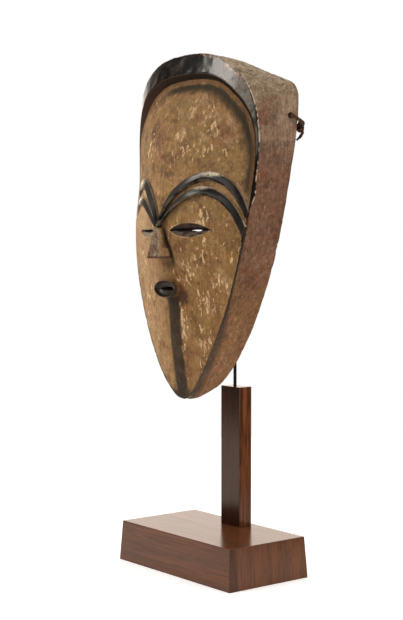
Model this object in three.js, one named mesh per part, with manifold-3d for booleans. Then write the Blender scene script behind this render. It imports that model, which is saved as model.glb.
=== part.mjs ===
// A carved wooden face mask carried by a steel rod on a polished hardwood stand.
// Millimetres, +Z up. The origin is the middle of the stand's underside, the mask
// looks along -Y, and the stand's long sides run along X.

import * as THREE from "three";
import { mergeVertices } from "three/addons/utils/BufferGeometryUtils.js";
import Module from "manifold-3d";

const wasm = await Module();
wasm.setup();

// Stand: a low plinth that tapers a little, with a square post near its back edge.
const BASE_TOP_WIDTH = 187;
const BASE_TOP_DEPTH = 101.6;
const BASE_HEIGHT = 43.5;
const BASE_FLARE = 2.6; // how far each side leans out towards the table
const COLUMN_WIDTH = 31.1;
const COLUMN_DEPTH = 17.3;
const COLUMN_HEIGHT = 152;
const COLUMN_Y = 35.2;
const COLUMN_TOP = BASE_HEIGHT + COLUMN_HEIGHT;

// Steel rod let into the column, with an arm under the crown and a stay behind the chin.
const ROD_RADIUS = 1.8;
const ROD_SIDES = 12;
const ROD_Y = 33.4;
const SOCKET_DEPTH = 22;
const SOCKET_CLEARANCE = 0.4;
const ROD_BEND_Z = 480;
const ARM_TIP = [0, 2, 530.4];
const STAY_Z = 252;
const STAY_TIP_Y = -33.8;

// The carving is set out from a centre in the forehead, from which it is star-shaped.
const MASK_CENTRE_Z = 400;
const STEPS_AROUND = 72;
const FACE_RINGS = 13;
const WALL_RINGS = 4;
const WALL_SWELL = 1;
const HOLLOW_FACE_RINGS = 6;
const HOLLOW_WALL_RINGS = 3;
const FACE_THICKNESS = 14;
const HOLLOW_SCALE = 0.875; // hollow's outline against the outer one
const RIM_SCALE_X = 0.9;
const RIM_SCALE_Z = 0.91;

// Edge between face and side wall, from chin to crown: height, half width, depth.
const FACE_EDGE = [
  [187, 0, -37.5], [195, 15.4, -39], [210, 30.9, -40.2], [240, 50.7, -39.8], [285, 72.8, -37.5],
  [330, 87.2, -34.9], [375, 95.9, -29.8], [420, 100, -21.8], [455, 101.8, -20],
  [490, 97.3, -21.8], [515, 87, -26], [534.5, 65, -30.5], [545.5, 40, -31.5], [549.4, 0, -30],
];

// Back edge of the side wall, squarer in the shoulders than the face: height, half width.
const BACK_EDGE = [
  [195, 0], [201, 13], [222, 34], [258, 58], [295, 75], [330, 88], [375, 99], [421, 107],
  [465, 113], [494, 113.5], [505, 111.5], [514, 104.5], [521, 87], [531.5, 57], [539.5, 36],
  [545.5, 18], [548, 0],
];
const BACK_Y = 15.5; // depth of the back edge at BACK_LEVEL
const BACK_LEVEL = 370;
const BACK_LEAN = 0.064; // the back edge leans away from the face as it rises

// Keel of the face on the middle line: height, depth.
const FACE_KEEL = [
  [186, -37], [192, -38.5], [225, -45], [257, -49], [286, -51.5], [303, -55.5], [320, -60],
  [337, -65], [364, -71], [385, -71.5], [410, -69.5], [450, -62], [480, -52], [505, -40],
  [520, -32], [535, -29.5], [552, -29],
];
const CHEEK_ROUNDING = 1.3; // 1 is a sharp keel, 2 a round barrel
const FOREHEAD_ROUNDING = 1.8;
const FOREHEAD_START = 400;
const FOREHEAD_FULL = 470;

// Raised hairline that frames the forehead and dies out at the temples.
const HAIR_END_Z = 390;
const HAIR_CROWN_Z = 550;
const HAIR_WIDTH = 20;
const HAIR_RELIEF = 6;
const COVE_WIDTH = 9;
const COVE_DEPTH = 2.5;
const COVE_FLOOR = 0.75; // place of its floor across the cove, from the hairline
const FOREHEAD_LIP = 0.8;
const WORN_EDGE = 0.06; // share of the hairline's section that rounds the plain edge below

// Brows: two raised crescents on each side, as half-face paths of across and height.
const UPPER_BROW = [[5, 373], [27, 405], [56, 419], [80, 407], [94, 386]];
const LOWER_BROW = [[10, 368], [29, 392], [52, 404], [76, 390], [90, 362]];
const BROW_HALF_WIDTH = 4.3;
const BROW_RELIEF = 4;
const BROW_STEPS = 18;

const EYE_X = 37.5;
const EYE_Z = 364;
const EYE_HALF_LENGTH = 22;
const EYE_HALF_HEIGHT = 6.8;
const EYE_RECESS = 3.2;
const SLIT_HALF_LENGTH = 20;
const SLIT_HALF_HEIGHT = 1.1;

const NOSE = { topZ: 374, bottomZ: 335.5, topHalf: 4.2, bottomHalf: 9.2, topY: -74.5, bottomY: -78 };
const NOSE_SPREAD = 3.4; // how much wider the nose is where it meets the face
const NOSE_ROOT_DEPTH = 12;

const MOUTH_Z = 303.5;
const MOUTH_HALF_WIDTH = 16;
const MOUTH_HALF_HEIGHT = 9.3;
const MOUTH_RELIEF = 7;
const MOUTH_SIDES = 32;
const MOUTH_SLIT_HALF_WIDTH = 9.5;
const MOUTH_SLIT_HALF_HEIGHT = 1.8;

// Old chip out of the back edge on the right.
const CHIP = { x: 93.6, y: 15.6, z: 341, width: 7, height: 8.5, turn: 0.9 };

// Tie hole in the right wall and the knotted leather thong in it.
const TIE_HOLE_Z = 479.5;
const TIE_HOLE_Y = 13.7;
const TIE_HOLE_RADIUS = 3.1;
const THONG_RADIUS = 1.9;
const THONG_SIDES = 10;
const THONG_LOOP = [
  [109, 28.8, 469.5], [115.4, 26.8, 472], [116.4, 19.5, 476], [114.4, 14.8, 479], [107, 13.7, 479.5],
  [99.6, 14, 479.2], [96.4, 18, 477], [97.6, 26, 474], [103, 28.8, 471], [108, 28.8, 469.5],
];
const THONG_TAIL = [
  [110.5, 28.8, 468], [112, 30, 464], [111.8, 30, 460], [109.5, 28.2, 457.2], [107, 26.4, 455.4],
];
const KNOT_RADIUS = 4.2;
const KNOT_PLACE = [110, 29, 469.5];

const material = (color, roughness, metalness = 0) =>
  new THREE.MeshStandardMaterial({ color, roughness, metalness });

const COLOURS = {
  mask: material(0x8a6b4a, 0.72),
  thong: material(0x4a2a18, 0.85),
  rod: material(0x17130f, 0.42, 0.7),
  column: material(0x5a2f20, 0.28),
  base: material(0x6b3a27, 0.26),
};

// Monotone interpolation through stations, so that an outline never overshoots them.
function profile(stations, column) {
  const xs = stations.map((row) => row[0]);
  const ys = stations.map((row) => row[column]);
  const slopes = xs.slice(1).map((x, i) => (ys[i + 1] - ys[i]) / (x - xs[i]));
  const tangents = xs.map((_, i) => {
    const before = slopes[Math.max(i - 1, 0)];
    const after = slopes[Math.min(i, slopes.length - 1)];
    if (before * after <= 0) {
      return 0;
    }
    return (2 * before * after) / (before + after);
  });
  return (x) => {
    const clamped = Math.min(Math.max(x, xs[0]), xs[xs.length - 1]);
    let i = 0;
    while (i < xs.length - 2 && clamped > xs[i + 1]) {
      i += 1;
    }
    const span = xs[i + 1] - xs[i];
    const t = (clamped - xs[i]) / span;
    const rise = ys[i + 1] - ys[i];
    const a = tangents[i] * span;
    const b = tangents[i + 1] * span;
    return ys[i] + t * (a + t * (3 * rise - 2 * a - b + t * (a + b - 2 * rise)));
  };
}

const faceEdgeWidth = profile(FACE_EDGE, 1);
const faceEdgeY = profile(FACE_EDGE, 2);
const keelY = profile(FACE_KEEL, 1);

function smoothstep(low, high, x) {
  const t = Math.min(Math.max((x - low) / (high - low), 0), 1);
  return t * t * (3 - 2 * t);
}

// Depth of the bare face at a place across and up.
function faceY(x, z) {
  const width = Math.max(faceEdgeWidth(z), 1);
  const share = Math.min(Math.abs(x) / width, 1);
  const blend = smoothstep(FOREHEAD_START, FOREHEAD_FULL, z);
  const rounding = CHEEK_ROUNDING + (FOREHEAD_ROUNDING - CHEEK_ROUNDING) * blend;
  return faceEdgeY(z) + (keelY(z) - faceEdgeY(z)) * (1 - share ** rounding);
}

// A closed loop through the stations, chin first, crown half way round.
function edgeLoop(stations, depthAt) {
  const side = stations.slice(1, -1);
  const ends = [stations[0], stations[stations.length - 1]];
  const point = (row, sign) => new THREE.Vector3(sign * row[1], depthAt(row), row[0]);
  const loop = new THREE.CatmullRomCurve3(
    [point(ends[0], 1), ...side.map((row) => point(row, 1)), point(ends[1], 1),
      ...side.map((row) => point(row, -1)).reverse()],
    true,
    "centripetal",
  );
  loop.arcLengthDivisions = 1200;
  return Array.from({ length: STEPS_AROUND }, (_, i) => loop.getPointAt(i / STEPS_AROUND));
}

const faceEdge = edgeLoop(FACE_EDGE, (row) => row[2]);
const backEdge = edgeLoop(BACK_EDGE, (row) => BACK_Y + BACK_LEAN * (row[0] - BACK_LEVEL));

// Moves a loop inwards, square to its own outline, by a distance that may vary.
function inset(loop, distanceAt) {
  return loop.map((point, i) => {
    const before = loop[(i + loop.length - 1) % loop.length];
    const after = loop[(i + 1) % loop.length];
    const along = new THREE.Vector2(after.x - before.x, after.z - before.z).normalize();
    const distance = distanceAt(point);
    return new THREE.Vector3(point.x - along.y * distance, point.y, point.z + along.x * distance);
  });
}

function scaled(loop, scaleX, scaleZ, depthAt) {
  return loop.map((point) => {
    const x = point.x * scaleX;
    const z = MASK_CENTRE_Z + (point.z - MASK_CENTRE_Z) * scaleZ;
    return new THREE.Vector3(x, depthAt(x, z, point), z);
  });
}

// Rings between two loops, swelling outwards from the middle of the mask by up to a set amount.
function between(from, to, count, swell = 0) {
  return Array.from({ length: count }, (_, ring) => {
    const share = (ring + 1) / (count + 1);
    const push = swell * Math.sin(Math.PI * share);
    return from.map((point, i) => {
      const moved = point.clone().lerp(to[i], share);
      const out = new THREE.Vector3(moved.x, 0, moved.z - MASK_CENTRE_Z).normalize();
      return moved.addScaledVector(out, push);
    });
  });
}

// Closed surface from rings of equal length, with a fan to a point at each end.
function closedFromRings(rings, firstPole, lastPole) {
  const points = [firstPole, ...rings.flat(), lastPole];
  const count = rings[0].length;
  const last = points.length - 1;
  const triangles = [];
  for (let i = 0; i < count; i += 1) {
    const j = (i + 1) % count;
    triangles.push(0, 1 + j, 1 + i);
    for (let ring = 0; ring < rings.length - 1; ring += 1) {
      const a = 1 + ring * count + i;
      const b = 1 + ring * count + j;
      triangles.push(a, b, b + count, a, b + count, a + count);
    }
    const start = 1 + (rings.length - 1) * count;
    triangles.push(start + i, start + j, last);
  }
  const geometry = new THREE.BufferGeometry();
  geometry.setAttribute("position", new THREE.Float32BufferAttribute(points.flatMap((p) => p.toArray()), 3));
  geometry.setIndex(triangles);
  return geometry;
}

function signedVolume(geometry) {
  const position = geometry.getAttribute("position");
  const index = geometry.getIndex();
  const corner = (i) => new THREE.Vector3().fromBufferAttribute(position, index.getX(i));
  let volume = 0;
  for (let i = 0; i < index.count; i += 3) {
    volume += corner(i).dot(corner(i + 1).cross(corner(i + 2))) / 6;
  }
  return volume;
}

function solid(source) {
  const bare = source.clone();
  bare.deleteAttribute("normal");
  bare.deleteAttribute("uv");
  const geometry = mergeVertices(bare, 1e-4);
  if (signedVolume(geometry) < 0) {
    geometry.setIndex(Array.from(geometry.getIndex().array).reverse());
  }
  return new wasm.Manifold(new wasm.Mesh({
    numProp: 3,
    vertProperties: new Float32Array(geometry.getAttribute("position").array),
    triVerts: new Uint32Array(geometry.getIndex().array),
  }));
}

function geometryOf(manifold) {
  const mesh = manifold.getMesh();
  const geometry = new THREE.BufferGeometry();
  geometry.setAttribute("position", new THREE.Float32BufferAttribute(mesh.vertProperties, 3));
  geometry.setIndex(Array.from(mesh.triVerts));
  geometry.computeVertexNormals();
  return geometry;
}

// Body of the mask: face, hairline, side walls, back rim and hollow in one skin.
function maskBody() {
  const hair = (point) => Math.max(smoothstep(HAIR_END_Z, HAIR_CROWN_Z, point.z) ** 1.3, WORN_EDGE);
  const raise = (loop, offsetAt) => loop.map((p, i) => {
    const y = faceY(p.x, p.z) + offsetAt(faceEdge[i]);
    return new THREE.Vector3(p.x, y, p.z);
  });
  const hairInner = raise(inset(faceEdge, (p) => HAIR_WIDTH * hair(p)), (p) => -HAIR_RELIEF * hair(p));
  const coveFloor = raise(
    inset(faceEdge, (p) => (HAIR_WIDTH + COVE_WIDTH * COVE_FLOOR) * hair(p)),
    (p) => COVE_DEPTH * (hair(p) - WORN_EDGE),
  );
  const foreheadEdge = raise(
    inset(faceEdge, (p) => (HAIR_WIDTH + COVE_WIDTH) * hair(p)),
    (p) => -FOREHEAD_LIP * hair(p),
  );
  const faceRings = Array.from({ length: FACE_RINGS }, (_, ring) => {
    const share = (ring + 1) / (FACE_RINGS + 1);
    return scaled(foreheadEdge, share, share, faceY);
  });
  const hollowDepth = (x, z) => faceY(x, z) + FACE_THICKNESS;
  const hollowEdge = scaled(faceEdge, HOLLOW_SCALE, HOLLOW_SCALE, hollowDepth);
  const rimInner = scaled(backEdge, RIM_SCALE_X, RIM_SCALE_Z, (x, z, point) => point.y);
  const hollowRings = Array.from({ length: HOLLOW_FACE_RINGS }, (_, ring) => {
    const share = HOLLOW_SCALE * (1 - (ring + 1) / (HOLLOW_FACE_RINGS + 1));
    return scaled(faceEdge, share, share, hollowDepth);
  });
  const rings = [
    ...faceRings, foreheadEdge, coveFloor, hairInner, ...between(hairInner, faceEdge, 1), faceEdge,
    ...between(faceEdge, backEdge, WALL_RINGS, WALL_SWELL), backEdge, rimInner,
    ...between(rimInner, hollowEdge, HOLLOW_WALL_RINGS), hollowEdge, ...hollowRings,
  ];
  const front = new THREE.Vector3(0, faceY(0, MASK_CENTRE_Z), MASK_CENTRE_Z);
  const back = new THREE.Vector3(0, hollowDepth(0, MASK_CENTRE_Z), MASK_CENTRE_Z);
  return solid(closedFromRings(rings, front, back));
}

// Raised crescent that follows the face along a path and thins out at both ends.
function brow(path, sign) {
  const curve = new THREE.SplineCurve(path.map(([x, z]) => new THREE.Vector2(x, z)));
  const section = [[-1, 3], [-1, -0.35], [-0.35, -1], [0.45, -1], [1, -0.25], [1, 3]];
  const rings = Array.from({ length: BROW_STEPS + 1 }, (_, step) => {
    const t = step / BROW_STEPS;
    const middle = curve.getPointAt(t);
    const along = curve.getTangentAt(t);
    const fullness = 0.45 + 0.55 * Math.sin(Math.PI * Math.min(t * 1.15 + 0.08, 1)) ** 0.6;
    return section.map(([across, rise]) => {
      const x = middle.x - along.y * across * BROW_HALF_WIDTH * fullness;
      const z = middle.y + along.x * across * BROW_HALF_WIDTH * fullness;
      const lift = rise > 0 ? rise : rise * BROW_RELIEF * fullness;
      return new THREE.Vector3(sign * x, faceY(x, z) + lift, z);
    });
  });
  const centreOf = (ring) =>
    ring.reduce((sum, p) => sum.add(p), new THREE.Vector3()).divideScalar(ring.length);
  return solid(closedFromRings(rings, centreOf(rings[0]), centreOf(rings[BROW_STEPS])));
}

function nose() {
  const { topZ, bottomZ, topHalf, bottomHalf, topY, bottomY } = NOSE;
  const section = (half, frontY, z) => {
    const rootY = faceY(0, z) + NOSE_ROOT_DEPTH;
    const spread = half + NOSE_SPREAD;
    return [
      [-half * 0.7, frontY], [half * 0.7, frontY], [half, frontY + 1.5], [spread, rootY],
      [-spread, rootY], [-half, frontY + 1.5],
    ].map(([x, y]) => new THREE.Vector3(x, y, z));
  };
  const rings = [
    section(topHalf * 0.9, topY + 2.5, topZ), section(topHalf, topY, topZ - 4),
    section(bottomHalf, bottomY, bottomZ + 1.5), section(bottomHalf * 0.94, bottomY + 1.2, bottomZ),
  ];
  const middle = (ring) => new THREE.Vector3(0, (ring[0].y + ring[3].y) / 2, ring[0].z);
  return solid(closedFromRings(rings, middle(rings[0]), middle(rings[rings.length - 1])));
}

function ellipseRing(halfWidth, halfHeight, y) {
  return Array.from({ length: MOUTH_SIDES }, (_, i) => {
    const angle = (2 * Math.PI * i) / MOUTH_SIDES;
    return new THREE.Vector3(halfWidth * Math.cos(angle), y, MOUTH_Z + halfHeight * Math.sin(angle));
  });
}

function lips() {
  const skinY = faceY(0, MOUTH_Z);
  const rings = [
    ellipseRing(MOUTH_HALF_WIDTH, MOUTH_HALF_HEIGHT, skinY + 9),
    ellipseRing(MOUTH_HALF_WIDTH, MOUTH_HALF_HEIGHT, skinY - MOUTH_RELIEF * 0.45),
    ellipseRing(MOUTH_HALF_WIDTH * 0.93, MOUTH_HALF_HEIGHT * 0.86, skinY - MOUTH_RELIEF * 0.85),
    ellipseRing(MOUTH_HALF_WIDTH * 0.8, MOUTH_HALF_HEIGHT * 0.6, skinY - MOUTH_RELIEF),
    ellipseRing(MOUTH_SLIT_HALF_WIDTH * 1.1, MOUTH_SLIT_HALF_HEIGHT * 1.5, skinY - MOUTH_RELIEF * 0.7),
  ];
  const back = new THREE.Vector3(0, rings[0][0].y, MOUTH_Z);
  const front = new THREE.Vector3(0, rings[rings.length - 1][0].y, MOUTH_Z);
  return solid(closedFromRings(rings, back, front));
}

// Almond with two pointed ends, pushed straight back from a given depth.
function almond(halfLength, halfHeight, frontY, length) {
  const shape = new THREE.Shape();
  shape.moveTo(-halfLength, 0);
  shape.quadraticCurveTo(0, 2 * halfHeight, halfLength, 0);
  shape.quadraticCurveTo(0, -2 * halfHeight, -halfLength, 0);
  const geometry = new THREE.ExtrudeGeometry(shape, { depth: length, bevelEnabled: false, curveSegments: 8 });
  geometry.rotateX(Math.PI / 2);
  geometry.translate(0, frontY + length, 0);
  return geometry;
}

// The recess leans with the cheek, and the slit goes through the wall.
function eyeCuts(sign) {
  const innerY = faceY(EYE_X - EYE_HALF_LENGTH, EYE_Z);
  const outerY = faceY(EYE_X + EYE_HALF_LENGTH, EYE_Z);
  const lean = Math.atan2(outerY - innerY, 2 * EYE_HALF_LENGTH);
  const recess = almond(EYE_HALF_LENGTH / Math.cos(lean), EYE_HALF_HEIGHT, -20, 20 + EYE_RECESS);
  recess.rotateZ(sign * lean);
  recess.translate(sign * EYE_X, (innerY + outerY) / 2, EYE_Z);
  const slit = almond(SLIT_HALF_LENGTH, SLIT_HALF_HEIGHT, -30, 70);
  slit.translate(sign * EYE_X, (innerY + outerY) / 2, EYE_Z - 0.4);
  return solid(recess).add(solid(slit));
}

function mouthCut() {
  const slit = ellipseRing(MOUTH_SLIT_HALF_WIDTH, MOUTH_SLIT_HALF_HEIGHT, faceY(0, MOUTH_Z) - 12);
  const through = slit.map((p) => new THREE.Vector3(p.x, p.y + 50, p.z));
  return solid(closedFromRings(
    [slit, through],
    new THREE.Vector3(0, slit[0].y, MOUTH_Z),
    new THREE.Vector3(0, through[0].y, MOUTH_Z),
  ));
}

function tieHole() {
  const hole = new THREE.CylinderGeometry(TIE_HOLE_RADIUS, TIE_HOLE_RADIUS, 40, 14);
  hole.rotateZ(Math.PI / 2);
  hole.translate(faceEdgeWidth(TIE_HOLE_Z) + 6, TIE_HOLE_Y, TIE_HOLE_Z);
  return solid(hole);
}

function chip() {
  const bite = new THREE.BoxGeometry(CHIP.width, CHIP.width, CHIP.height);
  bite.rotateZ(CHIP.turn);
  bite.translate(CHIP.x, CHIP.y, CHIP.z);
  return solid(bite);
}

function mask() {
  let body = maskBody();
  for (const sign of [1, -1]) {
    body = body.add(brow(UPPER_BROW, sign)).add(brow(LOWER_BROW, sign));
  }
  body = body.add(nose()).add(lips());
  for (const sign of [1, -1]) {
    body = body.subtract(eyeCuts(sign));
  }
  return geometryOf(body.subtract(mouthCut()).subtract(tieHole()).subtract(chip()));
}

// Round bar or cord swept along a path.
function swept(path, radius, sides, steps) {
  const circle = new THREE.Shape();
  for (let i = 0; i < sides; i += 1) {
    const angle = (2 * Math.PI * i) / sides;
    const point = [radius * Math.cos(angle), radius * Math.sin(angle)];
    if (i === 0) {
      circle.moveTo(...point);
    } else {
      circle.lineTo(...point);
    }
  }
  return new THREE.ExtrudeGeometry(circle, { steps, extrudePath: path, bevelEnabled: false });
}

function rod() {
  const tip = new THREE.Vector3(...ARM_TIP);
  const upright = new THREE.CylinderGeometry(ROD_RADIUS, ROD_RADIUS, 1, ROD_SIDES);
  upright.rotateX(Math.PI / 2);
  const foot = COLUMN_TOP - SOCKET_DEPTH;
  upright.scale(1, 1, ROD_BEND_Z - foot);
  upright.translate(0, ROD_Y, (ROD_BEND_Z + foot) / 2);
  const arm = new THREE.CatmullRomCurve3([
    new THREE.Vector3(0, ROD_Y, ROD_BEND_Z - 3), new THREE.Vector3(0, ROD_Y, ROD_BEND_Z + 12),
    new THREE.Vector3(0, ROD_Y - 8, ROD_BEND_Z + 27), new THREE.Vector3(0, tip.y + 8, tip.z - 6), tip,
  ]);
  const stay = new THREE.LineCurve3(
    new THREE.Vector3(0, ROD_Y, STAY_Z + 4),
    new THREE.Vector3(0, STAY_TIP_Y, STAY_Z),
  );
  return geometryOf(solid(upright)
    .add(solid(swept(arm, ROD_RADIUS * 0.995, ROD_SIDES, 14)))
    .add(solid(swept(stay, ROD_RADIUS * 0.9, ROD_SIDES, 1))));
}

function column() {
  const post = new THREE.BoxGeometry(COLUMN_WIDTH, COLUMN_DEPTH, COLUMN_HEIGHT);
  post.translate(0, COLUMN_Y, BASE_HEIGHT + COLUMN_HEIGHT / 2);
  const socketRadius = ROD_RADIUS + SOCKET_CLEARANCE;
  const socket = new THREE.CylinderGeometry(socketRadius, socketRadius, 2 * SOCKET_DEPTH + 1, ROD_SIDES);
  socket.rotateX(Math.PI / 2);
  socket.translate(0, ROD_Y, COLUMN_TOP);
  return geometryOf(solid(post).subtract(solid(socket)));
}

function base() {
  const block = new THREE.BoxGeometry(BASE_TOP_WIDTH, BASE_TOP_DEPTH, BASE_HEIGHT);
  block.translate(0, 0, BASE_HEIGHT / 2);
  const position = block.getAttribute("position");
  for (let i = 0; i < position.count; i += 1) {
    if (position.getZ(i) < BASE_HEIGHT / 2) {
      position.setX(i, position.getX(i) + Math.sign(position.getX(i)) * BASE_FLARE);
      position.setY(i, position.getY(i) + Math.sign(position.getY(i)) * BASE_FLARE);
    }
  }
  return geometryOf(solid(block));
}

// Leather thong: a loop through the wall and round the rim, knotted behind it, with a short tail.
function thong() {
  const curve = (route) => new THREE.CatmullRomCurve3(route.map((place) => new THREE.Vector3(...place)));
  const loop = curve(THONG_LOOP);
  const tail = curve(THONG_TAIL);
  const knot = new THREE.SphereGeometry(KNOT_RADIUS, 12, 8);
  knot.scale(1, 0.85, 1.1);
  knot.translate(...KNOT_PLACE);
  return geometryOf(solid(swept(loop, THONG_RADIUS, THONG_SIDES, 40))
    .add(solid(swept(tail, THONG_RADIUS * 0.8, THONG_SIDES, 12)))
    .add(solid(knot)));
}

const group = new THREE.Group();
const parts = { mask, thong, rod, column, base };
for (const [name, build] of Object.entries(parts)) {
  const mesh = new THREE.Mesh(build(), COLOURS[name]);
  mesh.name = name;
  group.add(mesh);
}

export default group;
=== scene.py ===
# %% [markdown]
# A carved mask on its stand
#
# The object is a wooden face mask, hollow behind. A thin black rod holds it up over a post and a
# base of polished hardwood. It could be sculpted as one lump, but the carver, the smith and the
# joiner each left their own finish, so each piece is made on its own. The frame holds every piece
# as a plain solid at its real size, and each step below makes a finer one in the same place.

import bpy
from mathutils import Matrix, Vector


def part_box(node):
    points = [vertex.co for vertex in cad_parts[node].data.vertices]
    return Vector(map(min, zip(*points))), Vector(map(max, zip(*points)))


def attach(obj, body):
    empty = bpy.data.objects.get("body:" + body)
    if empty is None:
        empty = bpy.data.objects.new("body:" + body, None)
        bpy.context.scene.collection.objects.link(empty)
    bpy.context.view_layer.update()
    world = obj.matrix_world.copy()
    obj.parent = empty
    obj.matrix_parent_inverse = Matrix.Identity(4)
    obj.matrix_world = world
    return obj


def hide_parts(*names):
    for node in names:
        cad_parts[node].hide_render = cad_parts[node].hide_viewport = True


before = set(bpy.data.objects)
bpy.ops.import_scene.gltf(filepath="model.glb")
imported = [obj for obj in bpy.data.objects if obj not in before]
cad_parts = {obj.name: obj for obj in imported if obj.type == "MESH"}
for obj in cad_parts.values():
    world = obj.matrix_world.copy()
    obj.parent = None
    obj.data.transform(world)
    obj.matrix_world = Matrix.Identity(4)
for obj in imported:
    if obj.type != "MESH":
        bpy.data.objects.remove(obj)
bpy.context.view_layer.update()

import math
from functools import reduce

import bmesh
import bpy
import numpy as np
from mathutils import Vector, noise
from mathutils.bvhtree import BVHTree
from mathutils.kdtree import KDTree

MM = 0.001


def rounded(box):
    return [[round(value, 4) for value in corner] for corner in box]


# %% [markdown]
# The camera
#
# The photograph looks at the mask from its left front, a little from above, with a long lens.
# A view could be matched by eye, but the base has straight edges and square corners, so the
# place, the two angles and the focal length were worked out from those. The camera comes first
# because every later choice, such as where a sheen falls, is judged through it.

# %% Set up the camera
CAMERA_PLACE = (1.1284, -0.9046, 0.3474)
CAMERA_PITCH_DOWN = 2.69
CAMERA_TURN = 51.69
PHOTO_HEIGHT = 620
FOCAL_IN_PIXELS = 1350
SENSOR_MM = 36

scene = bpy.context.scene
lens = bpy.data.cameras.new("photo_view")
lens.sensor_width = SENSOR_MM
lens.lens = FOCAL_IN_PIXELS / PHOTO_HEIGHT * SENSOR_MM
camera = bpy.data.objects.new("photo_view", lens)
camera.location = CAMERA_PLACE
camera.rotation_euler = (math.radians(90 - CAMERA_PITCH_DOWN), 0, math.radians(CAMERA_TURN))
scene.collection.objects.link(camera)
scene.camera = camera
scene.view_settings.view_transform = "Standard"
print("lens", round(lens.lens, 1), "mm")

# %% [markdown]
# Helpers for finishes
#
# A finish on a real thing is laid in coats: bare wood, then paint, then dirt, then what handling
# wears away. A material can be built the same way, one coat mixed over the last. Its nodes could
# be added one by one, but they repeat a lot, so a small class lays them and each finish below
# reads as a list of coats. Patterns use Object coordinates, in metres, to stay at real scale.

# %% A class that lays nodes
class Nodes:
    """Lays shader nodes, for a material or for the light of the room."""

    def __init__(self, tree):
        self.tree = tree

    def wire(self, source, socket):
        if isinstance(source, bpy.types.NodeSocket):
            self.tree.links.new(source, socket)
        else:
            socket.default_value = (*source, 1) if socket.type == "RGBA" else source

    def add(self, kind, output, inputs=None, **settings):
        """Adds a node with its settings, and gives each input its value or its link."""
        node = self.tree.nodes.new("ShaderNode" + kind)
        for name, value in settings.items():
            setattr(node, name, value)
        for socket, value in (inputs or {}).items():
            self.wire(value, node.inputs[socket])
        return node.outputs[output]

    def math(self, operation, a, b=0.0):
        return self.add("Math", 0, {0: a, 1: b}, operation=operation)

    def fade(self, value, low, high, start=0.0, end=1.0):
        """Goes smoothly from start to end as value goes from low to high."""
        if low > high:
            low, high, start, end = high, low, end, start
        return self.add("MapRange", 0, {0: value, 1: low, 2: high, 3: start, 4: end},
                        interpolation_type="SMOOTHSTEP")

    def within(self, value, outer_low, low, high, outer_high):
        """1 from low to high, fading to 0 at the outer two."""
        return self.both(self.fade(value, outer_low, low), self.fade(value, outer_high, high))

    def both(self, *masks):
        return reduce(lambda a, b: self.math("MULTIPLY", a, b), masks)

    def either(self, *masks):
        return reduce(lambda a, b: self.math("MAXIMUM", a, b), masks)

    def mix_in(self, value, other, amount):
        """value plus some of other."""
        return self.math("ADD", value, self.math("MULTIPLY", other, amount))

    def coats(self, under, *layers):
        """Lays one colour over the last. A layer is a mask, a colour and at times a share."""
        for mask, colour, *share in layers:
            mask = self.math("MULTIPLY", mask, share[0]) if share else mask
            under = self.add("Mix", 2, {0: mask, 6: under, 7: colour}, data_type="RGBA")
        return under


# %% A class that builds a finish
class Finish(Nodes):
    """Builds one procedural material."""

    SOCKETS = {
        "colour": "Base Color", "roughness": "Roughness", "metal": "Metallic",
        "specular": "Specular IOR Level", "tint": "Specular Tint", "coat": "Coat Weight",
        "coat_roughness": "Coat Roughness", "glow_colour": "Emission Color",
        "glow": "Emission Strength",
    }

    def __init__(self, name):
        self.material = bpy.data.materials.new(name)
        self.material.use_nodes = True
        super().__init__(self.material.node_tree)
        self.shader = self.tree.nodes["Principled BSDF"]
        self.place = self.add("TexCoord", "Object")
        self.axes = [self.axis(self.place, number) for number in range(3)]

    def axis(self, vector, number):
        return self.add("SeparateXYZ", number, {0: vector})

    def stretched(self, place, scale):
        return self.add("Mapping", 0, {"Vector": place, "Scale": scale})

    def noise(self, scale, detail=3.0, rough=0.55, twist=0.0):
        """Noise between 0 and 1. Scale is in patches per metre, one number or three."""
        place = self.stretched(self.place, scale if isinstance(scale, tuple) else (scale,) * 3)
        return self.add("TexNoise", "Fac", {"Vector": place, "Scale": 1.0, "Detail": detail,
                                            "Roughness": rough, "Distortion": twist})

    def cells(self, scale, bend_scale, shift):
        """Distance from the border between uneven cells, in cells."""
        bend = self.add("TexNoise", "Color", {"Vector": self.place, "Scale": bend_scale})
        bent = self.add("VectorMath", 0, {0: bend, 1: (shift,) * 3, 2: self.place},
                        operation="MULTIPLY_ADD")
        return self.add("TexVoronoi", "Distance",
                        {"Vector": self.stretched(bent, scale), "Scale": 1.0},
                        feature="DISTANCE_TO_EDGE")

    def attribute(self, name):
        return self.add("Attribute", "Fac", attribute_name=name)

    def level(self, mask, under, over):
        """A coat for a number, such as roughness."""
        return self.add("Mix", 0, {0: mask, 2: under, 3: over})

    def shaded(self, colour, amount):
        """The colour made lighter or darker all over."""
        return self.add("VectorMath", 0, {0: colour, "Scale": amount}, operation="SCALE")

    def relief(self, height, depth_mm, strength):
        """Fine unevenness of the surface, with its depth in millimetres."""
        bump = self.add("Bump", 0, {"Strength": strength, "Distance": depth_mm * MM,
                                    "Height": height})
        self.wire(bump, self.shader.inputs["Normal"])

    def set(self, **values):
        for key, value in values.items():
            self.wire(value, self.shader.inputs[self.SOCKETS[key]])

    def on(self, piece):
        piece.data.materials.clear()
        piece.data.materials.append(self.material)


print("finish helpers ready")

# %% [markdown]
# Floor and light
#
# The photograph was taken on a white paper sweep, so bright that only a breath of shadow is left
# beside the base. A sky picture could light it, but large soft lamps are closer to the real
# studio and stay under control. One large softbox at the front left gives the grey sheen on the
# blackened hairline, a dim one beside it and a wide one on the right lift the shadows, and one
# overhead picks out the cuts on the crown. The paper is narrow and the room beyond it is dark,
# which keeps the polished wood and the black paint deep.

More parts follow.
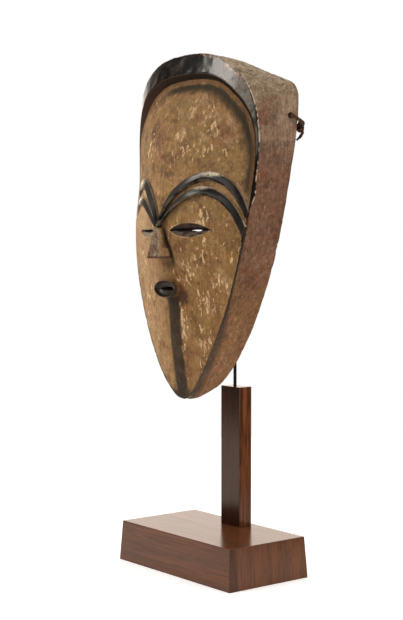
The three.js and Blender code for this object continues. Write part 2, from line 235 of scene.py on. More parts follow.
# %% Roll out the paper
PAPER_WIDTH = 1.5
PAPER_LENGTH = 2.4
PAPER_SHIFT = 0.35
PAPER_BEHIND = 1.0
PAPER_WHITE = (0.9, 0.9, 0.9)
PAPER_GLOW = 0.45
VIEW_YAW = math.radians(CAMERA_TURN)
AWAY = Vector((-math.sin(VIEW_YAW), math.cos(VIEW_YAW), 0))
RIGHT = Vector((math.cos(VIEW_YAW), math.sin(VIEW_YAW), 0))
UP = Vector((0, 0, 1))


def primitive(operator, name, **options):
    """A new primitive, the only thing selected."""
    bpy.ops.object.select_all(action="DESELECT")
    operator(**options)
    piece = bpy.context.object
    piece.name = piece.data.name = name
    return piece


paper = primitive(bpy.ops.mesh.primitive_plane_add, "paper_sweep", size=1)
for corner in paper.data.vertices:
    corner.co = (RIGHT * (corner.co.x * PAPER_WIDTH - PAPER_SHIFT)
                 + AWAY * (PAPER_BEHIND + (corner.co.y - 0.5) * PAPER_LENGTH))
white_paper = Finish("white_paper")
white_paper.set(colour=PAPER_WHITE, roughness=0.9, specular=0.0, glow_colour=(1, 1, 1),
                glow=PAPER_GLOW)
white_paper.on(paper)
print("paper", PAPER_WIDTH, "by", PAPER_LENGTH, "m")

# %% Light the studio
MASK_MIDDLE = Vector((0, 0, 0.4))
LAMP_COLOUR = (1.0, 0.96, 0.90)


def from_camera(turn, rise):
    """Direction from the mask, turned from the camera's own side towards its right."""
    turn, rise = math.radians(turn), math.radians(rise)
    level = RIGHT * math.sin(turn) - AWAY * math.cos(turn)
    return level * math.cos(rise) + UP * math.sin(rise)


def softbox(name, turn, rise, distance, width, height, radiance):
    light = bpy.data.lights.new(name, "AREA")
    light.color = LAMP_COLOUR
    light.shape = "RECTANGLE"
    light.size = width
    light.size_y = height
    light.energy = radiance * math.pi * width * height
    lamp = bpy.data.objects.new(name, light)
    lamp.location = MASK_MIDDLE + from_camera(turn, rise) * distance
    lamp.rotation_euler = (MASK_MIDDLE - lamp.location).to_track_quat("-Z", "Y").to_euler()
    scene.collection.objects.link(lamp)
    print(name, [round(v, 2) for v in lamp.location])


softbox("front_softbox", turn=-81, rise=29, distance=2.2, width=1.15, height=1.0, radiance=9.2)
softbox("dim_softbox", turn=-34, rise=24, distance=2.4, width=1.5, height=1.1, radiance=2.0)
softbox("right_softbox", turn=62, rise=30, distance=2.6, width=2.4, height=1.8, radiance=3.0)
softbox("overhead_softbox", turn=150, rise=66, distance=2.0, width=1.4, height=1.1, radiance=3.0)

# %% Surround the studio
# The backdrop is lit white, warmest near the floor, and the rest of the room is dim.
BACKDROP_LOW = (1.84, 1.64, 1.45)
BACKDROP_HIGH = (1.12, 1.06, 0.98)
ROOM_GLOW = (0.06, 0.06, 0.06)

world = bpy.data.worlds.new("studio")
world.use_nodes = True
scene.world = world
world.node_tree.nodes.clear()
room = Nodes(world.node_tree)
ray = room.add("TexCoord", "Generated")
towards = room.add("VectorMath", "Value", {0: ray, 1: AWAY}, operation="DOT_PRODUCT")
upwards = room.add("SeparateXYZ", "Z", {0: ray})
backdrop = room.coats(BACKDROP_LOW, (room.fade(upwards, 0.2, 0.5), BACKDROP_HIGH))
seen = room.add("LightPath", "Is Camera Ray")
light = room.coats(ROOM_GLOW, (room.fade(towards, 0.42, 0.88), backdrop), (seen, (1, 1, 1)))
room_out = world.node_tree.nodes.new("ShaderNodeOutputWorld")
room.wire(room.add("Background", 0, {"Color": light}), room_out.inputs["Surface"])
print("room glow", ROOM_GLOW, "to", BACKDROP_LOW)

# %% [markdown]
# Helpers for shaping
#
# Most pieces start as a primitive and end with modifiers that are applied. The carved forms have
# no flat faces to extrude from. They could be sculpted, but then their places would be nobody's
# to name. A sphere has rings between two poles, and a ring can be laid through any loop of
# places, so a brow, a lip or a whole mask is a sphere here, closed and even from pole to pole.

# %% Select and apply
def select_only(piece):
    bpy.ops.object.select_all(action="DESELECT")
    piece.select_set(True)
    bpy.context.view_layer.objects.active = piece


def apply_modifiers(piece):
    select_only(piece)
    for modifier in list(piece.modifiers):
        bpy.ops.object.modifier_apply(modifier=modifier.name)


def in_edit_mode(piece, choose=None):
    """Opens a piece in edit mode with all faces selected, or those that choose picks."""
    select_only(piece)
    bpy.ops.object.mode_set(mode="EDIT")
    bpy.ops.mesh.select_mode(type="FACE")
    bpy.ops.mesh.select_all(action="DESELECT" if choose else "SELECT")
    if choose:
        sheet = bmesh.from_edit_mesh(piece.data)
        for face in sheet.faces:
            face.select_set(bool(choose(face)))
        bmesh.update_edit_mesh(piece.data)


def out_of_edit_mode():
    bpy.ops.object.mode_set(mode="OBJECT")


def smooth_by_angle(piece, degrees):
    select_only(piece)
    bpy.ops.object.shade_smooth_by_angle(angle=math.radians(degrees))


def combine(piece, other, operation):
    """Joins other to piece, or cuts it out, and deletes it."""
    modifier = piece.modifiers.new(other.name, "BOOLEAN")
    modifier.operation = operation
    modifier.solver = "MANIFOLD"
    modifier.object = other
    apply_modifiers(piece)
    spent = other.data
    bpy.data.objects.remove(other)
    bpy.data.meshes.remove(spent)


def keep_flats(piece):
    """Lets large faces keep their own direction, so that only the rounded edges bend light."""
    modifier = piece.modifiers.new("large faces first", "WEIGHTED_NORMAL")
    modifier.keep_sharp = True
    apply_modifiers(piece)


# %% Lay a sphere through loops
def sphere_through(name, rings, poles=None):
    """A sphere whose rings lie through the loops, in millimetres, from pole to pole."""
    rings = np.asarray(rings, float)
    ring_total, around_total = rings.shape[:2]
    piece = primitive(bpy.ops.mesh.primitive_uv_sphere_add, name, segments=around_total,
                      ring_count=ring_total + 1)
    start = np.empty(len(piece.data.vertices) * 3)
    piece.data.vertices.foreach_get("co", start)
    start = start.reshape(-1, 3)
    polar = np.arccos(np.clip(start[:, 2], -1, 1)) / math.pi * (ring_total + 1)
    ring = np.rint(polar).astype(int)
    turn = np.arctan2(start[:, 1], start[:, 0]) / (2 * math.pi) * around_total
    around = np.rint(turn).astype(int) % around_total
    places = rings[np.clip(ring - 1, 0, ring_total - 1), around]
    first_pole, last_pole = poles or (rings[0].mean(axis=0), rings[-1].mean(axis=0))
    places[ring == 0] = first_pole
    places[ring == ring_total + 1] = last_pole
    piece.data.vertices.foreach_set("co", (places * MM).ravel())
    in_edit_mode(piece)
    bpy.ops.mesh.normals_make_consistent(inside=False)
    out_of_edit_mode()
    return piece


# %% Smooth lines through stations
def through(stations, column):
    """A smooth line through stations that never swings past them."""
    xs = np.array([row[0] for row in stations], float)
    ys = np.array([row[column] for row in stations], float)
    slopes = np.diff(ys) / np.diff(xs)
    before = np.concatenate([slopes[:1], slopes])
    after = np.concatenate([slopes, slopes[-1:]])
    same_way = before * after > 0
    tangents = np.zeros(len(xs))
    tangents[same_way] = 2 * (before * after)[same_way] / (before + after)[same_way]

    def line(x):
        x = np.clip(x, xs[0], xs[-1])
        i = np.clip(np.searchsorted(xs, x) - 1, 0, len(xs) - 2)
        span = xs[i + 1] - xs[i]
        t = (x - xs[i]) / span
        rise = ys[i + 1] - ys[i]
        a = tangents[i] * span
        b = tangents[i + 1] * span
        return ys[i] + t * (a + t * (3 * rise - 2 * a - b + t * (a + b - 2 * rise)))

    return line


def smoothstep(low, high, x):
    t = np.clip((x - low) / (high - low), 0, 1)
    return t * t * (3 - 2 * t)


def curve_through(points, count, closed=False):
    """Evenly spaced places on a curve that passes through all the points."""
    points = np.array(points, float)
    if closed:
        spans = len(points)
        corner = [points[i % spans] for i in range(-1, spans + 2)]
    else:
        spans = len(points) - 1
        corner = [2 * points[0] - points[1], *points, 2 * points[-1] - points[-2]]
    share = np.linspace(0, 1, 48, endpoint=False)[:, None]
    dense = []
    for i in range(spans):
        p0, p1, p2, p3 = corner[i:i + 4]
        d0, d1, d2 = (np.linalg.norm(b - a) ** 0.5 for a, b in ((p0, p1), (p1, p2), (p2, p3)))
        leave = ((p1 - p0) / d0 - (p2 - p0) / (d0 + d1) + (p2 - p1) / d1) * d1
        arrive = ((p2 - p1) / d1 - (p3 - p1) / (d1 + d2) + (p3 - p2) / d2) * d1
        bend = 3 * (p2 - p1) - 2 * leave - arrive
        turn = 2 * (p1 - p2) + leave + arrive
        dense.append(p1 + share * (leave + share * (bend + share * turn)))
    dense = np.concatenate([*dense, [corner[1] if closed else corner[-2]]])
    length = np.concatenate([[0], np.cumsum(np.linalg.norm(np.diff(dense, axis=0), axis=1))])
    wanted = np.linspace(0, length[-1], count, endpoint=not closed)
    return np.stack([np.interp(wanted, length, dense[:, axis]) for axis in range(3)], axis=1)


print("shaping helpers ready")

# %% [markdown]
# The base
#
# The base is a low block of dark reddish hardwood whose four sides lean in a little, with crisp
# edges that a plane and fine sandpaper have just broken. A box with a bevel modifier would have
# upright sides, so the bottom face of a cube is spread in edit mode before the edges are bevelled.

# %% Plane the base
BASE_TOP_WIDTH = 187
BASE_TOP_DEPTH = 101.6
BASE_HEIGHT = 43.5
BASE_FLARE = 2.6
BASE_BROKEN_EDGE = 0.7


def block(name, width, depth, height, middle):
    piece = primitive(bpy.ops.mesh.primitive_cube_add, name, size=1)
    in_edit_mode(piece)
    bpy.ops.transform.resize(value=(width * MM, depth * MM, height * MM))
    bpy.ops.transform.translate(value=[v * MM for v in middle])
    out_of_edit_mode()
    return piece


def break_edges(piece, width):
    in_edit_mode(piece)
    bpy.ops.mesh.bevel(offset=width * MM, segments=3, profile=0.5, affect="EDGES")
    out_of_edit_mode()
    smooth_by_angle(piece, 40)


base = block("polished_base", BASE_TOP_WIDTH, BASE_TOP_DEPTH, BASE_HEIGHT, (0, 0, BASE_HEIGHT / 2))
in_edit_mode(base, lambda face: face.normal.z < -0.5)
bpy.ops.transform.resize(value=(1 + 2 * BASE_FLARE / BASE_TOP_WIDTH,
                                1 + 2 * BASE_FLARE / BASE_TOP_DEPTH, 1))
out_of_edit_mode()
break_edges(base, BASE_BROKEN_EDGE)
keep_flats(base)
print("base", len(base.data.polygons), "faces")

# %% [markdown]
# The post
#
# The post is a square bar of the same wood, glued to the base near its back edge, with a hole in
# its end grain for the rod. The hole could be painted, but it shows from above, so a cylinder is
# cut out of the block.

# %% Saw and drill the post
POST_WIDTH = 31.1
POST_DEPTH = 17.3
POST_HEIGHT = 152
POST_Y = 35.2
POST_TOP = BASE_HEIGHT + POST_HEIGHT
POST_BROKEN_EDGE = 0.5
ROD_RADIUS = 1.8
ROD_Y = 33.4
SOCKET_RADIUS = 2.2
SOCKET_DEPTH = 22

post = block("polished_post", POST_WIDTH, POST_DEPTH, POST_HEIGHT,
             (0, POST_Y, BASE_HEIGHT + POST_HEIGHT / 2))
break_edges(post, POST_BROKEN_EDGE)
drill = primitive(bpy.ops.mesh.primitive_cylinder_add, "drill", vertices=32,
                  radius=SOCKET_RADIUS * MM, depth=2 * SOCKET_DEPTH * MM)
in_edit_mode(drill)
bpy.ops.transform.translate(value=(0, ROD_Y * MM, POST_TOP * MM))
out_of_edit_mode()
combine(post, drill, "DIFFERENCE")
smooth_by_angle(post, 40)
keep_flats(post)
print("post", len(post.data.polygons), "faces")

# %% [markdown]
# Polished hardwood
#
# The wood is a rosewood kind: brown, reddish in places, with fine dark pores and streaks along
# the grain. Its wax polish mirrors the white floor softly and in a warm tone, so the shine is
# tinted instead of laid on as a clear coat. A wave texture gives rings that are too regular, so
# three noises, stretched along the grain, lie one over the other: broad bands, streaks and pores.
# On the ends of the base the grain is turned upright. The fronts of the post and the base are
# painted darker, as painted shade, and the post's side is flamed.

# %% Lay the hardwood finish
WOOD_BROWN = (0.104, 0.037, 0.014)
WOOD_RED = (0.140, 0.044, 0.016)
WOOD_DARK = (0.040, 0.014, 0.008)
POLISH_TINT = (1.0, 0.70, 0.56)
# The fronts of the post and the base are painted darker, as painted shade.
POST_FRONT_PAINTED_SHADE = 0.24
BASE_FRONT_PAINTED_SHADE = 0.78


def hardwood(finish, along):
    """Bands, streaks and pores. along is 1 for the axis that the grain runs along."""
    def lines(fine, coarse):
        return tuple(coarse if run else fine for run in along)

    return (finish.noise(lines(70, 5), detail=2, twist=0.8),
            finish.noise(lines(420, 11), detail=4, rough=0.6, twist=0.5),
            finish.noise(lines(1000, 40), detail=3, rough=0.7))


def looks_along(finish, axis):
    """1 on faces that look along an axis, either way."""
    normal = finish.add("NewGeometry", "Normal")
    return finish.fade(finish.math("ABSOLUTE", finish.axis(normal, axis)), 0.6, 0.7)


def polish(finish, bands, streaks, pores, light):
    colour = finish.coats(WOOD_BROWN, (finish.fade(bands, 0.35, 0.65), WOOD_RED),
                          (finish.fade(streaks, 0.46, 0.66, end=0.6), WOOD_DARK),
                          (finish.fade(pores, 0.50, 0.68, end=0.7), WOOD_DARK))
    finish.set(colour=finish.shaded(colour, light), specular=0.4, tint=POLISH_TINT,
               roughness=finish.fade(streaks, 0.3, 0.7, start=0.17, end=0.23))
    finish.relief(pores, 0.05, 0.35)


post_wood = Finish("post_hardwood")
flame = post_wood.fade(post_wood.noise((190, 190, 14), detail=3, twist=0.6), 0.36, 0.62,
                       start=0.7, end=1.7)
polish(post_wood, *hardwood(post_wood, (0, 0, 1)),
       post_wood.level(looks_along(post_wood, 1), flame, POST_FRONT_PAINTED_SHADE))
post_wood.on(post)

base_wood = Finish("base_hardwood")
on_end = looks_along(base_wood, 0)
grain_ways = zip(hardwood(base_wood, (1, 0, 0)), hardwood(base_wood, (0, 0, 1)))
grain_ways = [base_wood.level(on_end, long_way, upright) for long_way, upright in grain_ways]
dark_corner = base_wood.both(on_end, base_wood.fade(base_wood.axes[1], -0.039, -0.047, end=0.6))
painted_front_shade = base_wood.level(looks_along(base_wood, 1), 1.0, BASE_FRONT_PAINTED_SHADE)
polish(base_wood, *grain_ways,
       base_wood.both(painted_front_shade, base_wood.math("SUBTRACT", 1.0, dark_corner)))
base_wood.on(base)
print("hardwood on base and post")

# %% [markdown]
# The rod
#
# A steel rod, blackened and waxed, stands in the post, bends forward under the crown and has a
# short stay behind the chin. A curve with a bevel would do for one bar, but the stay has to grow
# out of the upright without a gap, so both bars are spheres laid through rings and then joined.

# %% Bend the rod
ROD_BEND_Z = 480
ARM_TIP = (0, 2, 530.4)
STAY_Z = 252
STAY_TIP_Y = -33.8
ROD_SIDES = 28
BLACK_STEEL = (0.011, 0.010, 0.009)
RUBBED_STEEL = (0.035, 0.030, 0.026)


def circles_along(route, radii, sides):
    """Rings round a route, each square to it, with one radius for each place."""
    route = np.asarray(route, float)
    ahead = np.gradient(route, axis=0)
    ahead /= np.linalg.norm(ahead, axis=1, keepdims=True)
    side = np.cross(ahead[0], (0.31, 0.27, 0.91))
    rings = []
    for place, along, radius in zip(route, ahead, radii):
        side = side - along * np.dot(side, along)
        side /= np.linalg.norm(side)
        other = np.cross(along, side)
        turn = np.linspace(0, 2 * math.pi, sides, endpoint=False)[:, None]
        rings.append(place + radius * (np.cos(turn) * side + np.sin(turn) * other))
    return rings


def with_end_steps(route, step=0.4):
    """Adds a place close to each end, so that only the last bit of a bar is rounded."""
    first = route[0] + (route[1] - route[0]) / np.linalg.norm(route[1] - route[0]) * step
    last = route[-1] + (route[-2] - route[-1]) / np.linalg.norm(route[-2] - route[-1]) * step
    return np.concatenate([route[:1], [first], route[1:-1], [last], route[-1:]])


def bar(name, route, radius, rounding=0.4):
    """A round bar along a route, with its two ends just rounded."""
    route = np.asarray(route, float)
    if rounding:
        route = with_end_steps(route)
    radii = np.full(len(route), float(radius))
    radii[0] = radii[-1] = radius - rounding
    first = route[0] + (route[0] - route[1]) * 0.02
    last = route[-1] + (route[-1] - route[-2]) * 0.02
    return sphere_through(name, circles_along(route, radii, ROD_SIDES), (first, last))


rod_route = curve_through(
    [(0, ROD_Y, POST_TOP - SOCKET_DEPTH + 0.5), (0, ROD_Y, 300), (0, ROD_Y, ROD_BEND_Z - 3),
     (0, ROD_Y, ROD_BEND_Z + 12), (0, ROD_Y - 8, ROD_BEND_Z + 27),
     (0, ARM_TIP[1] + 8, ARM_TIP[2] - 6), ARM_TIP], 90)
rod = bar("blackened_rod", rod_route, ROD_RADIUS)
stay_route = np.linspace((0, ROD_Y, STAY_Z + 4), (0, STAY_TIP_Y, STAY_Z), 12)
combine(rod, bar("stay", stay_route, ROD_RADIUS * 0.9), "UNION")
smooth_by_angle(rod, 40)

steel = Finish("blackened_steel")
scuffs = steel.noise((500, 500, 60), detail=3)
steel.set(colour=steel.coats(BLACK_STEEL, (steel.fade(scuffs, 0.5, 0.72), RUBBED_STEEL)),
          roughness=steel.fade(scuffs, 0.3, 0.7, start=0.32, end=0.5), metal=0.6)
steel.relief(scuffs, 0.03, 0.4)
steel.on(rod)
print("rod", len(rod.data.polygons), "faces")

# %% [markdown]
# The mask, outlines first
#
# A carver roughs a mask out from two outlines: the edge of the face, seen from the front, and
# the back edge of the block, which is squarer in the shoulders. The depth comes from the middle
# line of the face. Those three are lists of a few stations, with a smooth line through each. A
# subdivision cage could hold the same form, but its surface would pull away from the stations,
# and every later cut is placed by them.

# %% Outlines of the mask
# Edge of the face from chin to crown: height, half width, depth.
FACE_EDGE = [
    (186.2, 0, -37.5), (188.4, 9.5, -38.2), (195, 18.2, -39), (210, 31.6, -40.2),
    (240, 51.1, -39.8), (285, 72.9, -37.5), (330, 87.2, -34.9), (375, 95.9, -29.8),
    (420, 100, -21.8), (455, 101.8, -20), (490, 97.3, -21.8), (515, 87, -26),
    (534.5, 65, -30.5), (545.5, 40, -31.5), (549.4, 0, -30),
]
# Back edge of the side wall: height, half width.
BACK_EDGE = [
    (195, 0), (201, 13), (222, 34), (258, 58), (295, 75), (330, 88), (375, 99), (421, 107),
    (465, 113), (494, 113.5), (505, 111.5), (514, 104.5), (521, 87), (531.5, 57), (539.5, 36),
    (545.5, 18), (548, 0),
]
BACK_Y = 15.5
BACK_LEVEL = 370
BACK_LEAN = 0.064
# Middle line of the face: height, depth.
FACE_KEEL = [
    (185, -37), (192, -38.5), (225, -45), (257, -49), (286, -51.5), (303, -55.2), (320, -59),
    (337, -63.8), (364, -66.5), (385, -66.5), (410, -64.8), (450, -61), (480, -52), (505, -40),
    (520, -32), (535, -29.5), (552, -29),
]
# How full the cheeks are on both sides of that line: height, power of the curve.
FACE_FULLNESS = [(186, 1.3), (300, 1.3), (337, 1.45), (364, 1.7), (400, 1.73), (470, 1.8),
                 (552, 1.8)]
CROWN_SHIFT = 2.0
EDGE_KNOCK = 2.6
MASK_CENTRE_Z = 400
COLUMNS = 360

edge_width_at = through(FACE_EDGE, 1)
edge_depth_at = through(FACE_EDGE, 2)
keel_depth_at = through(FACE_KEEL, 1)
fullness_at = through(FACE_FULLNESS, 1)


def face_depth(x, z):
    """Depth of the bare face at a place across and up."""
    share = np.minimum(np.abs(x) / np.maximum(edge_width_at(z), 1), 1)
    return edge_depth_at(z) + (keel_depth_at(z) - edge_depth_at(z)) * (1 - share ** fullness_at(z))


def edge_loop(stations, depth_of):
    """The loop of an edge: chin first, then the right side, the crown and the left side."""
    right = [(row[1], depth_of(row), row[0]) for row in stations]
    left = [(-x, y, z) for x, y, z in reversed(right[1:-1])]
    return curve_through(right + left, COLUMNS, closed=True)


face_edge = edge_loop(FACE_EDGE, lambda row: row[2])
face_edge[:, 0] -= CROWN_SHIFT * smoothstep(500, 535, face_edge[:, 2])
# On the right the edge is knocked back a little above the end of the upper brow.
knocked = smoothstep(386, 395, face_edge[:, 2]) * smoothstep(417, 402, face_edge[:, 2])
face_edge[:, 1] += EDGE_KNOCK * knocked * (face_edge[:, 0] > 0)
back_edge = edge_loop(BACK_EDGE, lambda row: BACK_Y + BACK_LEAN * (row[0] - BACK_LEVEL))
print("face edge", np.ptp(face_edge, axis=0).round(1), "mm")

# %% [markdown]
# The mask, hairline and skin
#
# The hair is a raised band round the forehead, widest at the crown and gone at the temples, with
# a cove cut along its inner edge. It could be a strip laid on, but the carver left it standing in
# one block. From a pole on the forehead to a pole in the hollow, every section crosses the same
# edges: forehead lip, cove, hair, outer edge, side wall, back rim and hollow. So the whole skin
# is one sphere laid through loops, which crowd together and round each corner as wear has done.

# %% Loops along the hairline
# Width of the hair and distance in to the forehead's edge, by height. The carver cut the right
# side of the forehead closer to the outline than the left.
HAIRLINE_RIGHT = [
    (380, 0.6, 1.2), (405, 1.8, 2.4), (444, 2.0, 2.9), (462, 2.6, 4.1), (478, 4.2, 6.6),
    (492, 7.4, 11.2), (510, 12.7, 17.6), (530, 16.4, 21), (541, 19.2, 25), (550, 21.5, 28.5),
]
HAIRLINE_LEFT = [
    (420, 0.8, 1.6), (445, 2.2, 6), (465, 4.2, 14), (492, 9, 25.5), (508, 13.2, 29.8),
    (525, 18, 31), (540, 19.6, 29.6), (550, 21.5, 28.5),
]
HAIR_RELIEF = 6
COVE_DEPTH = 2.5
COVE_FLOOR = 0.75
FOREHEAD_LIP = 0.8


def by_side(column):
    """A width along the edge, taken from the right or the left list of stations."""
    edge_z = face_edge[:, 2]
    return np.where(face_edge[:, 0] > 0, through(HAIRLINE_RIGHT, column)(edge_z),
                    through(HAIRLINE_LEFT, column)(edge_z))


def inset(loop, distance):
    """Moves a loop inwards, square to its own outline."""
    along = np.roll(loop, -1, axis=0) - np.roll(loop, 1, axis=0)
    along[:, 1] = 0
    along /= np.linalg.norm(along, axis=1, keepdims=True)
    moved = loop.copy()
    moved[:, 0] -= along[:, 2] * distance
    moved[:, 2] += along[:, 0] * distance
    return moved


def on_face(loop, lift):
    laid = loop.copy()
    laid[:, 1] = face_depth(loop[:, 0], loop[:, 2]) - lift
    return laid


hair_width = by_side(1)
lip_inset = by_side(2)
hair = hair_width / hair_width.max()
hair_inner = on_face(inset(face_edge, hair_width), HAIR_RELIEF * hair)
cove_floor = on_face(inset(face_edge, hair_width + (lip_inset - hair_width) * COVE_FLOOR),
                     -COVE_DEPTH * hair)
forehead_edge = on_face(inset(face_edge, lip_inset), FOREHEAD_LIP * hair)
print("hair band", round(float(hair_width.max()), 1), "mm wide at the crown")

# %% Loops of rim and hollow
FACE_THICKNESS = 14
HOLLOW_SCALE = 0.875
RIM_SCALE_X = 0.9
RIM_SCALE_Z = 0.91


def scaled(loop, scale_x, scale_z):
    moved = loop.copy()
    moved[:, 0] *= scale_x
    moved[:, 2] = MASK_CENTRE_Z + (moved[:, 2] - MASK_CENTRE_Z) * scale_z
    return moved


rim_inner = scaled(back_edge, RIM_SCALE_X, RIM_SCALE_Z)
hollow_edge = on_face(scaled(face_edge, HOLLOW_SCALE, HOLLOW_SCALE), -FACE_THICKNESS)

# %% Lay all loops from pole to pole
FACE_ROWS = 84
HOLLOW_ROWS = 30
WALL_SWELL = 1
CHIN_SWELL = 2.6
CHIN_ROUNDING = 3.0
CORNER_STEPS = np.linspace(0, 1, 5)
# Each edge with how far its corner is rounded, and how many loops run on to the next edge.
SKIN_EDGES = [
    (forehead_edge, 1.6 * hair, 3),
    (cove_floor, 2.2 * hair, 5),
    (hair_inner, 1.3 * hair, 11),
    (face_edge, 2.0 + CHIN_ROUNDING * smoothstep(260, 200, face_edge[:, 2]), 28),
    (back_edge, np.full(COLUMNS, 2.6), 4),
    (rim_inner, np.full(COLUMNS, 2.2), 12),
    (hollow_edge, np.full(COLUMNS, 6.0), 0),
]
LIP, COVE, HAIR, ARRIS, BACK, RIM, HOLLOW = range(len(SKIN_EDGES))


def step_to(place, other, reach):
    gap = other - place
    size = np.linalg.norm(gap, axis=1, keepdims=True)
    return place + gap / size * np.minimum(reach[:, None], 0.45 * size)


rows = [on_face(scaled(forehead_edge, share, share), 0)
        for share in np.arange(1, FACE_ROWS + 1) / (FACE_ROWS + 1)]
edge_rows = []
first_inside = on_face(scaled(hollow_edge, 0.97, 0.97), -FACE_THICKNESS)
for number, (edge, reach, runs) in enumerate(SKIN_EDGES):
    ahead = first_inside if number == HOLLOW else SKIN_EDGES[number + 1][0]
    behind = SKIN_EDGES[number - 1][0] if number else rows[-1]
    start = step_to(edge, behind, reach)
    end = step_to(edge, ahead, reach)
    edge_rows.append(len(rows) + len(CORNER_STEPS) // 2)
    rows += [(1 - t) ** 2 * start + 2 * t * (1 - t) * edge + t ** 2 * end for t in CORNER_STEPS]
    if number == HOLLOW:
        break
    arrive = step_to(ahead, edge, SKIN_EDGES[number + 1][1])
    for share in np.arange(1, runs + 1) / (runs + 1):
        row = end + (arrive - end) * share
        if number == ARRIS:
            out = row - (0, 0, MASK_CENTRE_Z)
            out[:, 1] = 0
            out /= np.linalg.norm(out, axis=1, keepdims=True)
            chin = smoothstep(215, 192, row[:, 2:]) * CHIN_SWELL * math.sin(math.pi * share ** 0.55)
            row = row + out * (WALL_SWELL * math.sin(math.pi * share) + chin)
        rows.append(row)
for share in 1 - np.arange(1, HOLLOW_ROWS + 1) / (HOLLOW_ROWS + 1):
    rows.append(on_face(scaled(hollow_edge, share * 0.985, share * 0.985), -FACE_THICKNESS))
skin = np.array(rows)
print("skin", skin.shape[0], "loops of", skin.shape[1])

# %% [markdown]
# The mask, marks of the tools
#
# The face was scraped and painted, so it only waves a little. The crown and the hollow still
# show the adze: shallow scoops with soft ridges between them. Those could be a bump in the
# material, but they catch the light on the outline too, so they are moves of the skin itself.
# Each scoop is one cell of a Voronoi pattern, deepest in its middle.

# %% Directions and distances on the skin
def unit(vectors):
    return vectors / np.maximum(np.linalg.norm(vectors, axis=-1, keepdims=True), 1e-9)


def skin_normals(grid):
    around = np.roll(grid, -1, axis=1) - np.roll(grid, 1, axis=1)
    return unit(np.cross(np.gradient(grid, axis=0), around))


def loops(first, end):
    """1 on the loops from first up to end, and 0 elsewhere."""
    number = np.arange(len(skin))[:, None]
    return ((number >= first) & (number < end)) * np.ones(COLUMNS)


walk = np.linalg.norm(np.diff(skin, axis=0), axis=2)
walked = np.concatenate([np.zeros((1, COLUMNS)), np.cumsum(walk, axis=0)])
# Distances along the section from three edges, positive towards the forehead.
from_edge, from_lip, from_back = (walked[edge_rows[edge]] - walked for edge in (ARRIS, LIP, BACK))
zones = {
    "front": loops(0, edge_rows[LIP]),
    "cove": loops(edge_rows[LIP] + 1, edge_rows[HAIR] - 1),
    "hair": loops(edge_rows[HAIR] - 1, edge_rows[ARRIS] + 1),
    "wall": loops(edge_rows[ARRIS] + 1, edge_rows[BACK]),
    "rim": loops(edge_rows[BACK], edge_rows[RIM]),
    "inside": loops(edge_rows[RIM], len(skin)),
}
print("section runs", round(float(walked[-1].mean())), "mm from pole to pole")

# %% Scoops, waves and nicks
SCOOP_CROWN = 1.6
SCOOP_SIDE = 0.28
SCOOP_HOLLOW = 1.3
SCOOP_HAIR = 0.5
WALL_WAVE = 0.3
FACE_WAVE = 0.35
FACE_SCRAPES = 0.14
NICK_DEPTH = 0.9
GROOVE_DEPTH = 0.7
# Sizes of the scoops across, in depth and up. Each pattern also has a shift of its own through
# the noise, so that no two of them fall together.
SCOOP_SIZE_WALL = (15, 13, 15)
SCOOP_SIZE_HOLLOW = (19, 19, 24)
SCOOP_SIZE_HAIR = (13, 30, 17)


def sampled(size, offset, value):
    """A value of the noise all over the skin, with patches of a size in millimetres."""
    flat = (skin / np.asarray(size, float) + offset).reshape(-1, 3)
    return np.array([value(Vector(place)) for place in flat]).reshape(skin.shape[:-1])


def wave(size, offset=0.0):
    return sampled(size, offset, noise.noise)


def gap_between_cells(place):
    distances = noise.voronoi(place)[0]
    return distances[1] - distances[0]


def scoops(size, offset=0.0):
    """0 on the ridge between two scoops and 1 in the middle of one."""
    return np.minimum(sampled(size, offset, gap_between_cells) * 1.6, 1) ** 0.7


height = skin[..., 2]
wall_depth = SCOOP_SIDE + (SCOOP_CROWN - SCOOP_SIDE) * smoothstep(480, 512, height)
groove = smoothstep(2.5, 7, from_lip) * smoothstep(17, 10, from_lip) * smoothstep(400, 450, height)
near_edge = np.exp(-(from_edge / 1.8) ** 2) + 0.6 * np.exp(-(from_back / 2.5) ** 2)
carved = (
    -zones["wall"] * wall_depth * scoops(SCOOP_SIZE_WALL)
    - zones["wall"] * WALL_WAVE * (wave((9, 9, 60)) + 0.5)
    - (zones["inside"] + zones["rim"] * 0.3) * SCOOP_HOLLOW * scoops(SCOOP_SIZE_HOLLOW, 3.1)
    - zones["hair"] * SCOOP_HAIR * hair * scoops(SCOOP_SIZE_HAIR, 5.7)
    + zones["front"] * FACE_WAVE * wave((30, 30, 42), 1.3)
    + zones["front"] * FACE_SCRAPES * wave((5, 8, 26), 7.9)
    - zones["front"] * GROOVE_DEPTH * groove
    - NICK_DEPTH * smoothstep(0.25, 0.55, wave((5, 9, 5), 11.2)) * near_edge
)
skin = skin + skin_normals(skin) * carved[..., None]
print("deepest mark", round(float(-carved.min()), 2), "mm")

# %% Turn the loops into a body
front_pole = (0, float(face_depth(np.array(0.0), np.array(400.0))), MASK_CENTRE_Z)
back_pole = (0, front_pole[1] + FACE_THICKNESS, MASK_CENTRE_Z)
mask = sphere_through("carved_mask", skin, (front_pole, back_pole))
bare_skin = BVHTree.FromPolygons([v.co.copy() for v in mask.data.vertices],
                                 [tuple(p.vertices) for p in mask.data.polygons])
print("mask skin", len(mask.data.vertices), "vertices")

# %% [markdown]
# Brows, nose and mouth
#
# These stand out from the face with clear edges. Pulling them out of the skin would need its
# loops to run along them, so each is a closed form of its own, laid along its path, and a
# Boolean joins it to the face. That leaves a crisp line where wood meets wood, as a knife does.

